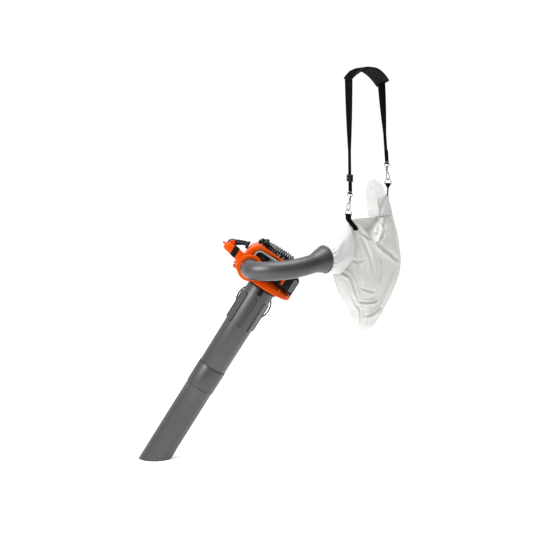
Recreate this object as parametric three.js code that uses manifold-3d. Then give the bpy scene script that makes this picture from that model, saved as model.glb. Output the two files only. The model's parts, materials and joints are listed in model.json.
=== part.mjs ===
// Hand-held petrol leaf blower rigged as a vacuum: intake tube down to the ground, elbow tube to a
// cloth bag, and a shoulder strap held up over the bag. Millimetres, +Z up, origin in the hand grip.
import * as THREE from "three";
import { mergeVertices } from "three/addons/utils/BufferGeometryUtils.js";
import Module from "manifold-3d";

const wasm = await Module();
wasm.setup();
const { Vector3 } = THREE;
const TAU = 2 * Math.PI;
const rad = THREE.MathUtils.degToRad;

// ---- Driving dimensions ----
const TILT = rad(31.9); // the fan's axis leans this far from upright, towards +X
const TUBE_RUN = 864; // along the axis, from the ground to the fan's inlet plane
const TUBE_R = 60.5; // intake tube, outside
const TUBE_WALL = 2.5;
const COUPLING_Z = -400; // where the two intake tubes meet
const COUPLING_LENGTH = 100;
const RIB_HEIGHT = 5; // gripping ribs at the top of the intake tube
const INLET_R = 57;
const SCROLL = { start: 106, growth: 34, rim: 20, top: 46, wall: 4 };
const DUCT = { x: -92, z: 48, r: 45.5, wall: 5.5, end: -128 };
const FAN_R = 92;
const CRANK = { z: 86, throw: 13.5, webR: 27, pinR: 6, journalR: 8 };
const CYLINDER = { bore: 17.2, barrel: 22, foot: 44, head: 92, fin: 62 };
const STARTER = { x: -14, r: 62, floor: 143, top: 166 };
const SLAT_PITCH = 10; // of the parallel slats across the starter's top
const DRUM = { r: 25, y: -27 }; // the starter drum, and the side its rope leaves from
const FLYWHEEL = { r: 50, z: 121, depth: 16 };
const GRIP = { x: -206, z: 68, front: -62, back: 84 };
const ELBOW_R = 38;
const ELBOW_WALL = 2.5;
const FLARE_R = 52;
const STRAP_WIDTH = 40;
const STRAP_THICK = 3;
const BAG_WALL = 2.5;
const GAP = 0.4; // between pieces that touch

// ---- Materials ----
const look = (color, roughness, metalness = 0) =>
  new THREE.MeshStandardMaterial({ color, roughness, metalness });
const ORANGE = look(0xe8501a, 0.35);
const RED = look(0xc8301c, 0.4);
const TUBE_GREY = look(0x6a6b6e, 0.45);
const DARK_GREY = look(0x3c3d40, 0.5);
const SILVER_GREY = look(0xa9aaab, 0.45);
const BLACK = look(0x17181a, 0.5);
const RUBBER = look(0x141415, 0.85);
const GREEN = look(0x1f6a4a, 0.3);
const STEEL = look(0xb9bbbe, 0.3, 1);
const ALUMINIUM = look(0xa5a7aa, 0.45, 1);
const CLOTH = look(0xe6e5df, 0.9);
const WEBBING = look(0x161718, 0.9);

// ---- Solid helpers ----
function solid(geometry) {
  const bare = geometry.clone();
  bare.deleteAttribute("normal");
  bare.deleteAttribute("uv");
  const merged = mergeVertices(bare, 1e-4);
  return new wasm.Manifold(
    new wasm.Mesh({
      numProp: 3,
      vertProperties: merged.attributes.position.array,
      triVerts: new Uint32Array(merged.index.array),
    }),
  );
}

function geometryOf(manifold) {
  const mesh = manifold.getMesh();
  const geometry = new THREE.BufferGeometry();
  geometry.setAttribute("position", new THREE.BufferAttribute(mesh.vertProperties, 3));
  geometry.setIndex(new THREE.BufferAttribute(mesh.triVerts, 1));
  return geometry;
}

const join = (...pieces) => geometryOf(pieces.map(solid).reduce((all, piece) => all.add(piece)));
const cut = (body, ...tools) =>
  geometryOf(tools.map(solid).reduce((left, tool) => left.subtract(tool), solid(body)));
const common = (a, b) => geometryOf(solid(a).intersect(solid(b)));

const box = (x, y, z) => new THREE.BoxGeometry(x, y, z);
const rod = (r, length, sides = 16) =>
  new THREE.CylinderGeometry(r, r, length, sides).rotateX(Math.PI / 2);
// A turned piece about Z: its profile is [radius, height] pairs that run round the section
// with the material on the left.
const turned = (profile, sides = 28) =>
  new THREE.LatheGeometry(
    [...profile, profile[0]].map(([r, z]) => new THREE.Vector2(r, z)),
    sides,
  ).rotateX(Math.PI / 2);
const ring = (outer, inner, low, high, sides = 28) =>
  turned([[outer, low], [outer, high], [inner, high], [inner, low]], sides);
// A plate in the XY plane from an outline of [x, y] points, from low to high along Z.
function plate(points, low, high) {
  const shape = new THREE.Shape(points.map(([x, y]) => new THREE.Vector2(x, y)));
  const options = { depth: high - low, bevelEnabled: false };
  return new THREE.ExtrudeGeometry(shape, options).translate(0, 0, low);
}
// The same, for an outline of [x, z] points, from front to back along Y.
const panel = (points, front, back) =>
  plate(points, -back, -front).rotateX(Math.PI / 2);
// The corners of a rectangle, rounded with arcs of the given radius.
function roundedCorners(x0, y0, x1, y1, r, steps = 2) {
  const centres = [[x1 - r, y1 - r], [x0 + r, y1 - r], [x0 + r, y0 + r], [x1 - r, y0 + r]];
  return centres.flatMap(([x, y], quarter) =>
    Array.from({ length: steps + 1 }, (_, i) => {
      const angle = (quarter + i / steps) * (Math.PI / 2);
      return [x + r * Math.cos(angle), y + r * Math.sin(angle)];
    }),
  );
}
const roundedBlock = (x, y, z, r) =>
  plate(roundedCorners(-x / 2, -y / 2, x / 2, y / 2, r), -z / 2, z / 2);

// A closed body through rings of points, each ring anticlockwise as seen from the last ring.
function loft(rings) {
  const count = rings[0].length;
  const points = rings.flat();
  const index = [];
  for (let i = 0; i < rings.length - 1; i++) {
    for (let j = 0; j < count; j++) {
      const a = i * count + j;
      const b = i * count + ((j + 1) % count);
      index.push(a, b, a + count, b, b + count, a + count);
    }
  }
  const last = (rings.length - 1) * count;
  for (let j = 1; j < count - 1; j++) {
    index.push(0, j + 1, j, last, last + j, last + j + 1);
  }
  const geometry = new THREE.BufferGeometry().setFromPoints(points);
  geometry.setIndex(index);
  return geometry;
}

// Rings of a round tube along a curve, whose radius may change along it.
function tubeRings(curve, radiusAt, steps, sides) {
  const { normals, binormals } = curve.computeFrenetFrames(steps, false);
  return Array.from({ length: steps + 1 }, (_, i) => {
    const centre = curve.getPointAt(i / steps);
    const r = radiusAt(i / steps);
    return Array.from({ length: sides }, (_, j) => {
      const angle = (j / sides) * TAU;
      return centre
        .clone()
        .addScaledVector(normals[i], r * Math.cos(angle))
        .addScaledVector(binormals[i], r * Math.sin(angle));
    });
  });
}

const smoothCurve = (points) =>
  new THREE.CatmullRomCurve3(points.map((p) => new Vector3(...p)), false, "centripetal");
const wire = (points, r, sides = 6, steps = 6) =>
  loft(tubeRings(smoothCurve(points), () => r, steps, sides));

// ---- Where things stand ----
// ground: z is the height above the ground and the intake tube meets the ground at x = y = 0.
// machine: x is down and z is out of the engine's side when the blower is used as a blower.
const inletCentre = new Vector3(Math.sin(TILT), 0, Math.cos(TILT)).multiplyScalar(TUBE_RUN);
const onGround = (x, y, z) =>
  new Vector3(x, y, z).applyAxisAngle(new Vector3(0, 1, 0), TILT).add(inletCentre);
const gripCentre = onGround(GRIP.x, 10, GRIP.z);

const blower = new THREE.Group();
const ground = new THREE.Group();
ground.position.copy(gripCentre).negate();
const machine = new THREE.Group();
machine.position.copy(inletCentre);
machine.rotation.y = TILT;
blower.add(ground);
ground.add(machine);

function add(group, name, geometry, material) {
  const mesh = new THREE.Mesh(geometry, material);
  mesh.name = name;
  group.add(mesh);
  return mesh;
}

// ---- Intake tubes ----
function upperTube() {
  const spigotR = TUBE_R - TUBE_WALL - 1;
  const end = COUPLING_Z - 60;
  const shell = turned([
    [TUBE_R - TUBE_WALL, -2],
    [TUBE_R - TUBE_WALL - 3, COUPLING_Z],
    [spigotR - TUBE_WALL - 1, end],
    [spigotR - 1, end],
    [spigotR - 1, COUPLING_Z - GAP],
    [TUBE_R - 1, COUPLING_Z - GAP],
    [TUBE_R, -2],
  ]);
  const ribs = Array.from({ length: 8 }, (_, i) =>
    cut(
      box(RIB_HEIGHT + 1, 8, 132)
        .translate(TUBE_R - 2 + RIB_HEIGHT / 2, 0, -124)
        .rotateZ((i / 8) * TAU),
      rod(TUBE_R - 1.5, 140, 28).translate(0, 0, -124),
    ),
  );
  return join(shell, ...ribs);
}

function lowerTube() {
  const socketR = TUBE_R + 1;
  const socketEnd = COUPLING_Z - COUPLING_LENGTH;
  const shell = turned([
    [TUBE_R - 1.2, COUPLING_Z - 1],
    [TUBE_R - 1.2, socketEnd + 30],
    [TUBE_R - 4.2, socketEnd + 20],
    [TUBE_R - 4.2, -TUBE_RUN - 80],
    [TUBE_R - 1.2, -TUBE_RUN - 80],
    [TUBE_R - 1.2, socketEnd],
    [socketR, socketEnd + 2],
    [socketR, COUPLING_Z - 1],
  ]);
  const underGround = box(400, 300, 200)
    .translate(0, 0, -100)
    .rotateY(-TILT)
    .translate(0, 0, -TUBE_RUN);
  return cut(shell, underGround);
}

function tubeLatch() {
  const lever = roundedBlock(18, 30, 5, 2).rotateX(Math.PI / 2).translate(0, -75, -22);
  const heel = box(12, 4, 6).translate(0, -71, -22);
  return join(lever, heel);
}

add(machine, "upper_vacuum_tube", upperTube(), TUBE_GREY);
add(machine, "lower_vacuum_tube", lowerTube(), TUBE_GREY);
add(machine, "tube_latch", tubeLatch(), BLACK);

// ---- Inlet collar and the grille door that hangs open behind the tube ----
const HINGE = { x: 8, y: 78, z: -12, r: 3 };
const DOOR_R = 76;

function inletCollar() {
  const collar = ring(67, TUBE_R + GAP + 0.6, -14, -GAP);
  const latchSeat = box(26, 8, 12).translate(0, -67.5, -7);
  const lugs = [HINGE.x - 26, HINGE.x + 26].map((x) =>
    join(
      box(8, 20, 10).translate(x, 68, -7),
      rod(6, 8, 12).rotateY(Math.PI / 2).translate(x, HINGE.y, HINGE.z),
    ),
  );
  const pinHole = rod(HINGE.r + 0.5, 90, 12).rotateY(Math.PI / 2).translate(HINGE.x, HINGE.y, HINGE.z);
  const bore = rod(TUBE_R + GAP + 0.6, 30, 28);
  return cut(join(collar, latchSeat, ...lugs), pinHole, bore);
}

function inletDoor() {
  const centreZ = HINGE.z - DOOR_R - 4;
  const flat = (geometry) => geometry.rotateX(Math.PI / 2).translate(HINGE.x, HINGE.y, centreZ);
  const rim = flat(ring(DOOR_R, DOOR_R - 5, -3, 3, 24));
  const middle = flat(ring(20, 15, -2, 2, 16));
  const bars = Array.from({ length: 7 }, (_, i) => {
    const x = (i - 3) * 17;
    const length = 2 * Math.sqrt((DOOR_R - 3) ** 2 - x ** 2);
    return flat(box(3, length, 4).translate(x, 0, 0));
  });
  const atHinge = (length, r) =>
    rod(r, length, 12).rotateY(Math.PI / 2).translate(HINGE.x, HINGE.y, HINGE.z);
  const knuckle = atHinge(42, 5);
  const pin = atHinge(62, HINGE.r);
  const arm = box(34, 4, 12).translate(HINGE.x, HINGE.y, HINGE.z - 6);
  return join(rim, middle, ...bars, knuckle, pin, arm);
}

add(machine, "inlet_collar", inletCollar(), DARK_GREY);
add(machine, "inlet_door", inletDoor(), DARK_GREY);

// ---- Fan housing: a scroll in two halves that opens into a round outlet duct ----
// The scroll's radius grows anticlockwise from its tongue to the outlet.
const TONGUE = rad(232);
function scrollRing(z, inset, scale, steps = 26) {
  return Array.from({ length: steps }, (_, i) => {
    const angle = TONGUE + (i / steps) * TAU;
    const turnedBy = Math.min(1, (i / steps) * (360 / 308));
    const tail = Math.max(0, (i / steps - 308 / 360) / (52 / 360));
    const grown = SCROLL.start + SCROLL.growth * (tail > 0 ? 1 - tail : turnedBy);
    const r = (grown - inset) * scale;
    return new Vector3(r * Math.cos(angle), r * Math.sin(angle), z);
  });
}

function scrollBody(inset) {
  return loft([
    scrollRing(inset, inset + 3, 1),
    scrollRing(inset + 4, inset, 1),
    scrollRing(SCROLL.rim - inset / 2, inset, 1),
    scrollRing(SCROLL.rim + 8 - inset, inset, 0.86),
    scrollRing(SCROLL.top - inset, inset, 0.42),
  ]);
}

// The duct rises out of the scroll's end and turns into a round pipe: [y, x, z, half width, half height].
const DUCT_SECTIONS = [
  [DUCT.end, DUCT.x, DUCT.z, DUCT.r, DUCT.r],
  [-80, DUCT.x, DUCT.z, DUCT.r, DUCT.r],
  [-58, DUCT.x - 1, DUCT.z - 11, DUCT.r - 1, DUCT.r - 11],
  [-36, DUCT.x - 3, DUCT.z - 22, DUCT.r - 2, DUCT.r - 22],
  [16, DUCT.x - 6, DUCT.z - 24, DUCT.r - 6, DUCT.r - 24],
];

function ductBody(inset, front = DUCT.end) {
  const sections = [[front, ...DUCT_SECTIONS[0].slice(1)], ...DUCT_SECTIONS.slice(1)];
  return loft(
    sections.map(([y, x, z, halfWidth, halfHeight]) =>
      Array.from({ length: 20 }, (_, i) => {
        const angle = -(i / 20) * TAU;
        const across = (halfWidth - inset) * Math.cos(angle);
        return new Vector3(x + across, y, z + (halfHeight - inset) * Math.sin(angle));
      }),
    ),
  );
}

function fanHousing() {
  const outside = join(scrollBody(0), ductBody(0));
  const inside = join(scrollBody(SCROLL.wall), ductBody(DUCT.wall, DUCT.end - 1));
  const inlet = rod(INLET_R, 12, 28);
  const shaftHole = rod(13, 20).translate(0, 0, SCROLL.top - 3);
  return cut(outside, inside, inlet, shaftHole);
}

const SPLIT = 14; // height of the joint between the two halves
function halfSpace(low, high) {
  return box(400, 400, high - low).translate(0, 0, (low + high) / 2);
}
const housing = fanHousing();
add(machine, "fan_housing_inlet_half", common(housing, halfSpace(-10, SPLIT - 0.2)), ORANGE);
add(machine, "fan_housing_engine_half", common(housing, halfSpace(SPLIT + 0.2, 120)), ORANGE);

// ---- What turns: fan, cutter, crankshaft and flywheel ----
function impeller() {
  const disc = ring(FAN_R, CRANK.journalR + 0.5, 17, 20);
  const hub = ring(18, CRANK.journalR + 0.5, 7, 24, 20);
  const blades = Array.from({ length: 8 }, (_, i) =>
    box(60, 2.5, 11)
      .rotateZ(rad(-22))
      .translate(54, 10, 12.5)
      .rotateZ((i / 8) * TAU),
  );
  return join(disc, hub, ...blades);
}

function cutter() {
  const bar = roundedBlock(92, 20, 3, 4).translate(0, 0, 4.9);
  return cut(bar, rod(CRANK.journalR + 0.5, 20));
}

function fanNut() {
  return cut(rod(14, 8, 6).translate(0, 0, -1), rod(CRANK.journalR + 0.5, 20));
}

function crankshaft() {
  const { z, webR, pinR, journalR } = CRANK;
  const shaft = rod(journalR, z - 4 + 6).translate(0, 0, (z - 4 - 6) / 2);
  const webs = [-9, 9].map((offset) => rod(webR, 10).translate(0, 0, z + offset));
  const pin = rod(pinR, 20, 16).translate(-CRANK.throw, 0, z);
  const tail = rod(journalR, 53).translate(0, 0, z + 4 + 26.5);
  return join(shaft, ...webs, pin, tail);
}

function flywheel() {
  const { r, z, depth } = FLYWHEEL;
  const rim = ring(r, CRANK.journalR + 0.5, z, z + 8);
  const vanes = Array.from({ length: 12 }, (_, i) =>
    box(22, 2.5, depth - 7)
      .translate(r - 13, 0, z + 7 + (depth - 7) / 2)
      .rotateZ((i / 12) * TAU),
  );
  return join(rim, ...vanes);
}

add(machine, "impeller", impeller(), BLACK);
add(machine, "mulching_cutter", cutter(), STEEL);
add(machine, "fan_nut", fanNut(), STEEL);
add(machine, "crankshaft", crankshaft(), STEEL);
add(machine, "flywheel", flywheel(), ALUMINIUM);

// ---- Engine ----
function crankcase() {
  const { z, journalR } = CRANK;
  const body = rod(42, 69).translate(0, 0, z - 4.5);
  const deck = box(26, 56, 54).translate(-30.5, 0, z);
  const feet = [45, 135, 225, 315].map((a) =>
    rod(7, 12, 8).translate(46 * Math.cos(rad(a)), 46 * Math.sin(rad(a)), 54),
  );
  const chamber = rod(31, 34).translate(0, 0, z);
  const mouth = rod(19, 40).rotateY(Math.PI / 2).translate(-34, 0, z);
  const bore = rod(journalR + 0.6, 120).translate(0, 0, z);
  return cut(join(body, deck, ...feet), chamber, mouth, bore);
}

function cylinder() {
  const { bore, barrel, foot, head, fin } = CYLINDER;
  const piece = (geometry, low, high) =>
    geometry.rotateY(Math.PI / 2).translate(-(low + high) / 2, 0, CRANK.z);
  const base = piece(roundedBlock(52, 52, 5, 4), foot, foot + 5);
  const wall = piece(rod(barrel, head + 6 - foot), foot, head + 6);
  const fins = Array.from({ length: 6 }, (_, i) => {
    const low = foot + 10 + i * 7.6;
    return piece(plate(roundedCorners(-fin / 2, -fin / 2, fin / 2, fin / 2, 8, 1), -1.2, 1.2), low,
      low + 2.4);
  });
  const hole = piece(rod(bore, head - foot + 20), foot - 20, head);
  const plugHole = piece(rod(6, 40, 16), head - 10, head + 30);
  return cut(join(base, wall, ...fins), hole, plugHole);
}

const CROWN = 86; // the piston's crown at the top of its stroke, from the crank's axis
function piston() {
  const skirt = ring(CYLINDER.bore - 0.4, 13, 0, 24, 20);
  const crown = rod(CYLINDER.bore - 0.4, 6).translate(0, 0, 21);
  return join(skirt, crown).rotateY(-Math.PI / 2).translate(24 - CROWN, 0, CRANK.z);
}

function connectingRod() {
  const shank = box(22, 9, 6).translate(-CROWN + 28, 0, CRANK.z);
  const smallEnd = rod(7, 6, 20).translate(-CROWN + 19, 0, CRANK.z);
  return join(shank, smallEnd);
}

function sparkPlug() {
  const low = CYLINDER.head + 6 + GAP;
  const turnedUp = (geometry, at) => geometry.rotateY(Math.PI / 2).translate(-at, 0, CRANK.z);
  return join(
    turnedUp(rod(5.4, 10, 12), low - 4),
    turnedUp(rod(9, 6, 6), low + 3),
    turnedUp(rod(5, 10, 12), low + 9),
  );
}

function muffler() {
  const can = roundedBlock(56, 26, 38, 6).translate(-28, -57, 99);
  const neck = box(24, 14, 22).translate(-60, -63, 104);
  const spout = rod(7, 20, 12).rotateX(Math.PI / 2).translate(-64, -78, 104);
  return cut(join(can, neck, spout), rod(5, 40, 12).rotateX(Math.PI / 2).translate(-64, -90, 104));
}

function mufflerGuard() {
  const outline = roundedCorners(-104, 56, 46, 128, 20, 4);
  const body = cut(
    panel(outline, -88, -62),
    panel(roundedCorners(-100, 50, 42, 124, 18, 4), -84.5, -60),
  );
  const slots = Array.from({ length: 7 }, (_, i) =>
    box(5, 12, 13).rotateY(rad(14)).translate(-32 + i * 10.5, -86, 112),
  );
  const lowSlots = Array.from({ length: 5 }, (_, i) =>
    box(5, 12, 16).rotateY(rad(14)).translate(-16 + i * 11, -86, 78),
  );
  const outlet = rod(9, 20).rotateX(Math.PI / 2).translate(-64, -86, 104);
  return cut(body, ...slots, ...lowSlots, outlet, ductBody(-1));
}

function exhaustDeflector() {
  const cup = turned([[13, 0], [16, 12], [16, 15], [13.5, 15], [11, 3], [8, 3], [8, 0]], 20);
  return cup.rotateX(Math.PI / 2).translate(-64, -88 - GAP, 104);
}

function carburettor() {
  const flange = box(26, 5, 30).translate(-62, 37.6, 90);
  const body = roundedBlock(34, 30, 38, 5).translate(-62, 55, 90);
  const throat = rod(9, 60).rotateX(Math.PI / 2).translate(-62, 55, 90);
  return cut(join(flange, body), throat);
}

const BULB = { x: -78, y: 94 };
const AIRBOX = { x0: -102, x1: -18, y0: 76, y1: 116, z0: 62, z1: 156 };
function airFilterCover() {
  const { x0, x1, y0, y1, z0, z1 } = AIRBOX;
  const outside = plate(roundedCorners(x0, y0, x1, y1, 12), z0, z1);
  const inside = plate(roundedCorners(x0 + 3, y0 - 9, x1 - 3, y1 - 3, 8), z0 + 3, z1 - 3);
  const ribs = [78, 96, 114, 132].map((z) => box(44, 3, 3).translate(-68, y1 + 0.5, z));
  const bulbHole = rod(13.4, 10).translate(BULB.x, BULB.y, z1);
  return join(cut(outside, inside, bulbHole), ...ribs);
}

function airFilter() {
  const { x0, x1, y0, z0, z1 } = AIRBOX;
  const frame = roundedBlock(x1 - x0 - 10, z1 - z0 - 12, 20, 8).rotateX(Math.PI / 2);
  const pad = frame.translate((x0 + x1) / 2, y0 + 14, (z0 + z1) / 2);
  return cut(pad, rod(10, 16).rotateX(Math.PI / 2).translate(-62, y0 + 4, 90));
}

const CHOKE = { x: -34, z: 92 };
function chokeLever() {
  const y = AIRBOX.y1 + GAP;
  const hub = rod(7, 6, 20).rotateX(Math.PI / 2).translate(CHOKE.x, y + 3, CHOKE.z);
  const arm = box(6, 4, 34).translate(CHOKE.x, y + 4, CHOKE.z - 17);
  const tip = box(10, 9, 8).translate(CHOKE.x, y + 6.5, CHOKE.z - 34);
  return join(hub, arm, tip);
}

function primerBulb() {
  const dome = new THREE.SphereGeometry(11, 16, 8).rotateX(Math.PI / 2).scale(1, 1, 0.9);
  const half = common(dome, rod(20, 20).translate(0, 0, 10));
  return join(half, rod(12.5, 2, 16).translate(0, 0, 0.9)).translate(BULB.x, BULB.y, AIRBOX.z1 + 0.5);
}

function ignitionCoil() {
  const core = box(16, 26, 14).translate(-60, 0, FLYWHEEL.z + 8);
  const route = [[-62, 4, 128], [-80, 8, 130], [-98, 10, 126], [-110, 8, 112], [-116, 2, 94]];
  const lead = wire(route, 3, 6, 12);
  const boot = rod(8, 18, 16).rotateY(Math.PI / 2).translate(-117, 0, CRANK.z);
  const cavity = rod(5.6, 12, 16).rotateY(Math.PI / 2).translate(-110, 0, CRANK.z);
  return cut(join(core, lead, boot), cavity);
}

add(machine, "crankcase", crankcase(), ALUMINIUM);
add(machine, "cylinder", cylinder(), ALUMINIUM);
add(machine, "piston", piston(), ALUMINIUM);
add(machine, "connecting_rod", connectingRod(), STEEL);
add(machine, "spark_plug", sparkPlug(), STEEL);
add(machine, "muffler", muffler(), STEEL);
add(machine, "muffler_guard", mufflerGuard(), SILVER_GREY);
add(machine, "exhaust_deflector", exhaustDeflector(), BLACK);
add(machine, "carburettor", carburettor(), ALUMINIUM);
add(machine, "air_filter_cover", airFilterCover(), BLACK);
add(machine, "air_filter", airFilter(), RUBBER);
add(machine, "choke_lever", chokeLever(), BLACK);
add(machine, "primer_bulb", primerBulb(), GREEN);
add(machine, "ignition_coil", ignitionCoil(), BLACK);

// ---- Recoil starter ----
function starterHousing() {
  const { x, r, floor, top } = STARTER;
  const wall = ring(r, r - 3, floor, top - 2, 36).translate(x, 0, 0);
  const lid = rod(r - 0.5, 5, 36).translate(x, 0, top - 2.5);
  const gaps = Array.from({ length: 11 }, (_, i) =>
    box(SLAT_PITCH / 2, 2 * r, top - floor).translate((i - 6.5) * SLAT_PITCH, 0, (top + floor) / 2 + 5),
  );
  const post = rod(5, 18, 12).translate(0, 0, top - 11);
  const guide = roundedBlock(30, 22, 20, 5).translate(x - r - 5, DRUM.y, top - 12);
  const ropeHole = rod(3.2, 60, 12).rotateY(Math.PI / 2).translate(x - r - 8, DRUM.y, top - 15);
  const hollow = rod(r - 3.2, 17, 36).translate(x, 0, floor + 8.7);
  return cut(join(cut(join(wall, lid), ...gaps), post, cut(guide, hollow)), ropeHole);
}

function starterPulley() {
  const groove = [[DRUM.r, 149.4], [DRUM.r, 152.6]];
  const half = [[30, 146], [30, 148.4], ...groove, [30, 153.6], [30, 155]];
  return turned([...half, [14, 155], [14, 157], [6, 157], [6, 146]], 20);
}

function recoilSpring() {
  const points = Array.from({ length: 31 }, (_, i) => {
    const angle = (i / 10) * TAU;
    const r = 9 + (i / 10) * 4;
    return [r * Math.cos(angle), r * Math.sin(angle)];
  });
  const outer = points.map(([x, y]) => [x * 1.06, y * 1.06]).reverse();
  return plate([...points, ...outer], 157.6, 160.2);
}

const PULL = { x: STARTER.x - STARTER.r - 32, z: STARTER.top - 15 };
function starterRope() {
  const length = 11;
  return rod(2.2, length, 10)
    .rotateY(Math.PI / 2)
    .translate(PULL.x + 8 + GAP + length / 2, DRUM.y, PULL.z);
}

function starterHandle() {
  const bar = roundedBlock(16, 20, 40, 6).rotateX(Math.PI / 2);
  return bar.translate(PULL.x, DRUM.y, PULL.z);
}

add(machine, "starter_housing", starterHousing(), BLACK);
add(machine, "starter_pulley", starterPulley(), BLACK);
add(machine, "recoil_spring", recoilSpring(), STEEL);
add(machine, "starter_rope", starterRope(), BLACK);
add(machine, "starter_handle", starterHandle(), BLACK);

// ---- Engine cover, fuel tank ----
function coverOutline(inset) {
  const low = 50 + (inset > 0 ? -10 : 0);
  return [
    [-138 + inset, low],
    [58 - inset, low],
    [58 - inset, 126 - inset / 2],
    [46 - inset, 141 - inset],
    [-92, 141 - inset],
    [-112 + inset * 0.4, 134 - inset],
    [-126 + inset * 0.8, 118 - inset],
    [-134 + inset, 96],
  ];
}

function engineCover() {
  const front = -76;
  const back = 66;
  const shell = cut(
    panel(coverOutline(0), front, back),
    panel(coverOutline(4), front + 4, back + 1),
    panel(coverOutline(20), front - 1, front + 5),
  );
  const guardRoom = panel(roundedCorners(-105, 40, 47, 129, 20, 4), -90, -60);
  const flywheelRoom = rod(56, 30, 28).translate(0, 0, 138);
  const tankRoom = box(80, 160, 80).translate(100, 0, 66);
  const scrollRoom = scrollBody(-1);
  const carburettorRoom = box(30, 30, 30).translate(-62, 55, 90);
  return cut(shell, guardRoom, ductBody(-1), flywheelRoom, tankRoom, scrollRoom,
    carburettorRoom);
}

const TANK = { x0: 62, x1: 112, half: 70, z1: 104 };
function fuelTank() {
  const { x0, x1, half, z1 } = TANK;
  const outline = [[x0, 46], [x1 - 4, 30], [x1, 33], [x1, z1 - 6], [x1 - 6, z1], [x0, z1]];
  const body = panel(outline, -half, half);
  const room = panel([[x0 + 4, 50], [x1 - 4, 36], [x1 - 4, z1 - 4], [x0 + 4, z1 - 4]], -half + 4,
    half - 4);
  const filler = rod(15, 20).rotateX(Math.PI / 2).translate(87, half - 4, 74);
  return cut(body, room, filler);
}

function fuelCap() {
  const y = TANK.half + GAP;
  const cap = rod(21, 12, 24).rotateX(Math.PI / 2).translate(87, y + 6, 74);
  const bar = box(36, 8, 7).translate(87, y + 15, 74);
  const plug = rod(14, 12, 24).rotateX(Math.PI / 2).translate(87, y - 5, 74);
  return join(cap, bar, plug);
}

add(machine, "engine_cover", engineCover(), ORANGE);
add(machine, "fuel_tank", fuelTank(), BLACK);
add(machine, "fuel_cap", fuelCap(), BLACK);

// ---- Outlet clamp with its screw ----
const LUG_ANGLE = rad(196);
const CLAMP_Y = DUCT.end + 12;
function outletClamp() {
  const band = ring(DUCT.r + 8, DUCT.r + GAP, -12, 12, 24);
  const ears = [-6, 6].map((y) => box(20, 7, 22).translate(DUCT.r + 15, y, 0));
  const split = box(40, 5, 40).translate(DUCT.r + 12, 0, 0);
  const screwHole = rod(3.6, 60, 12).rotateX(Math.PI / 2).translate(DUCT.r + 18, 0, 0);
  const bore = rod(DUCT.r + GAP, 30, 24);
  return cut(join(band, ...ears), split, screwHole, bore);
}

function clampScrew() {
  const x = DUCT.r + 18;
  const shank = rod(3, 30, 12).rotateX(Math.PI / 2).translate(x, 2, 0);
  const head = rod(7, 6, 6).rotateX(Math.PI / 2).translate(x, 13.2, 0);
  return join(shank, head);
}

const inClamp = (geometry) =>
  geometry.rotateZ(LUG_ANGLE).rotateX(Math.PI / 2).translate(DUCT.x, CLAMP_Y, DUCT.z);
add(machine, "outlet_clamp", inClamp(outletClamp()), ORANGE);
add(machine, "clamp_screw", inClamp(clampScrew()), STEEL);

// ---- Handle ----
// A ring of the handle's section, square to X or to Y, wide along `across` and tall along Z.
function gripSection(centre, across, width, height) {
  return Array.from({ length: 12 }, (_, i) => {
    const angle = -(i / 12) * TAU;
    const fat = (v) => Math.sign(v) * Math.abs(v) ** 0.75;
    return new Vector3(...centre)
      .addScaledVector(across, (width / 2) * fat(Math.cos(angle)))
      .add(new Vector3(0, 0, (height / 2) * fat(Math.sin(angle))));
  });
}
const ACROSS_X = new Vector3(1, 0, 0);
const ACROSS_Y = new Vector3(0, 1, 0);
const BAND = { x0: -190, x1: -166 };

function handleFront() {
  const y = GRIP.front;
  const riser = loft([
    gripSection([-134, y, 50], ACROSS_Y, 48, 60),
    gripSection([-148, y, 56], ACROSS_Y, 42, 50),
    gripSection([BAND.x1 + 2, y, 63], ACROSS_Y, 38, 44),
    gripSection([BAND.x0 - 2, y, 68], ACROSS_Y, 37, 42),
    gripSection([-212, y, 70], ACROSS_Y, 35, 38),
    gripSection([-222, y, 69], ACROSS_Y, 30, 30),
    gripSection([-228, y, 68], ACROSS_Y, 18, 18),
  ]);
  const sleeve = box(BAND.x1 - BAND.x0, 80, 80).translate((BAND.x0 + BAND.x1) / 2, y, 66);
  const core = rod(14, 34).rotateY(Math.PI / 2).translate(-179, y, 66);
  const stub = loft([
    gripSection([GRIP.x - 4, y + 8, GRIP.z], ACROSS_X, 32, 36),
    gripSection([GRIP.x, y + 32, GRIP.z], ACROSS_X, 34, 36),
  ]);
  const coverRoom = panel(coverOutline(-GAP), -76 - GAP, 67);
  return cut(join(cut(riser, sleeve), core, stub), ductBody(-GAP), coverRoom);
}

function gripBand() {
  const y = GRIP.front;
  const sleeve = loft([
    gripSection([BAND.x1 - GAP, y, 64], ACROSS_Y, 40, 46),
    gripSection([BAND.x0 + GAP, y, 68], ACROSS_Y, 39, 44),
  ]);
  return cut(sleeve, rod(14 + GAP, 60).rotateY(Math.PI / 2).translate(-179, y, 66));
}

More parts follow.
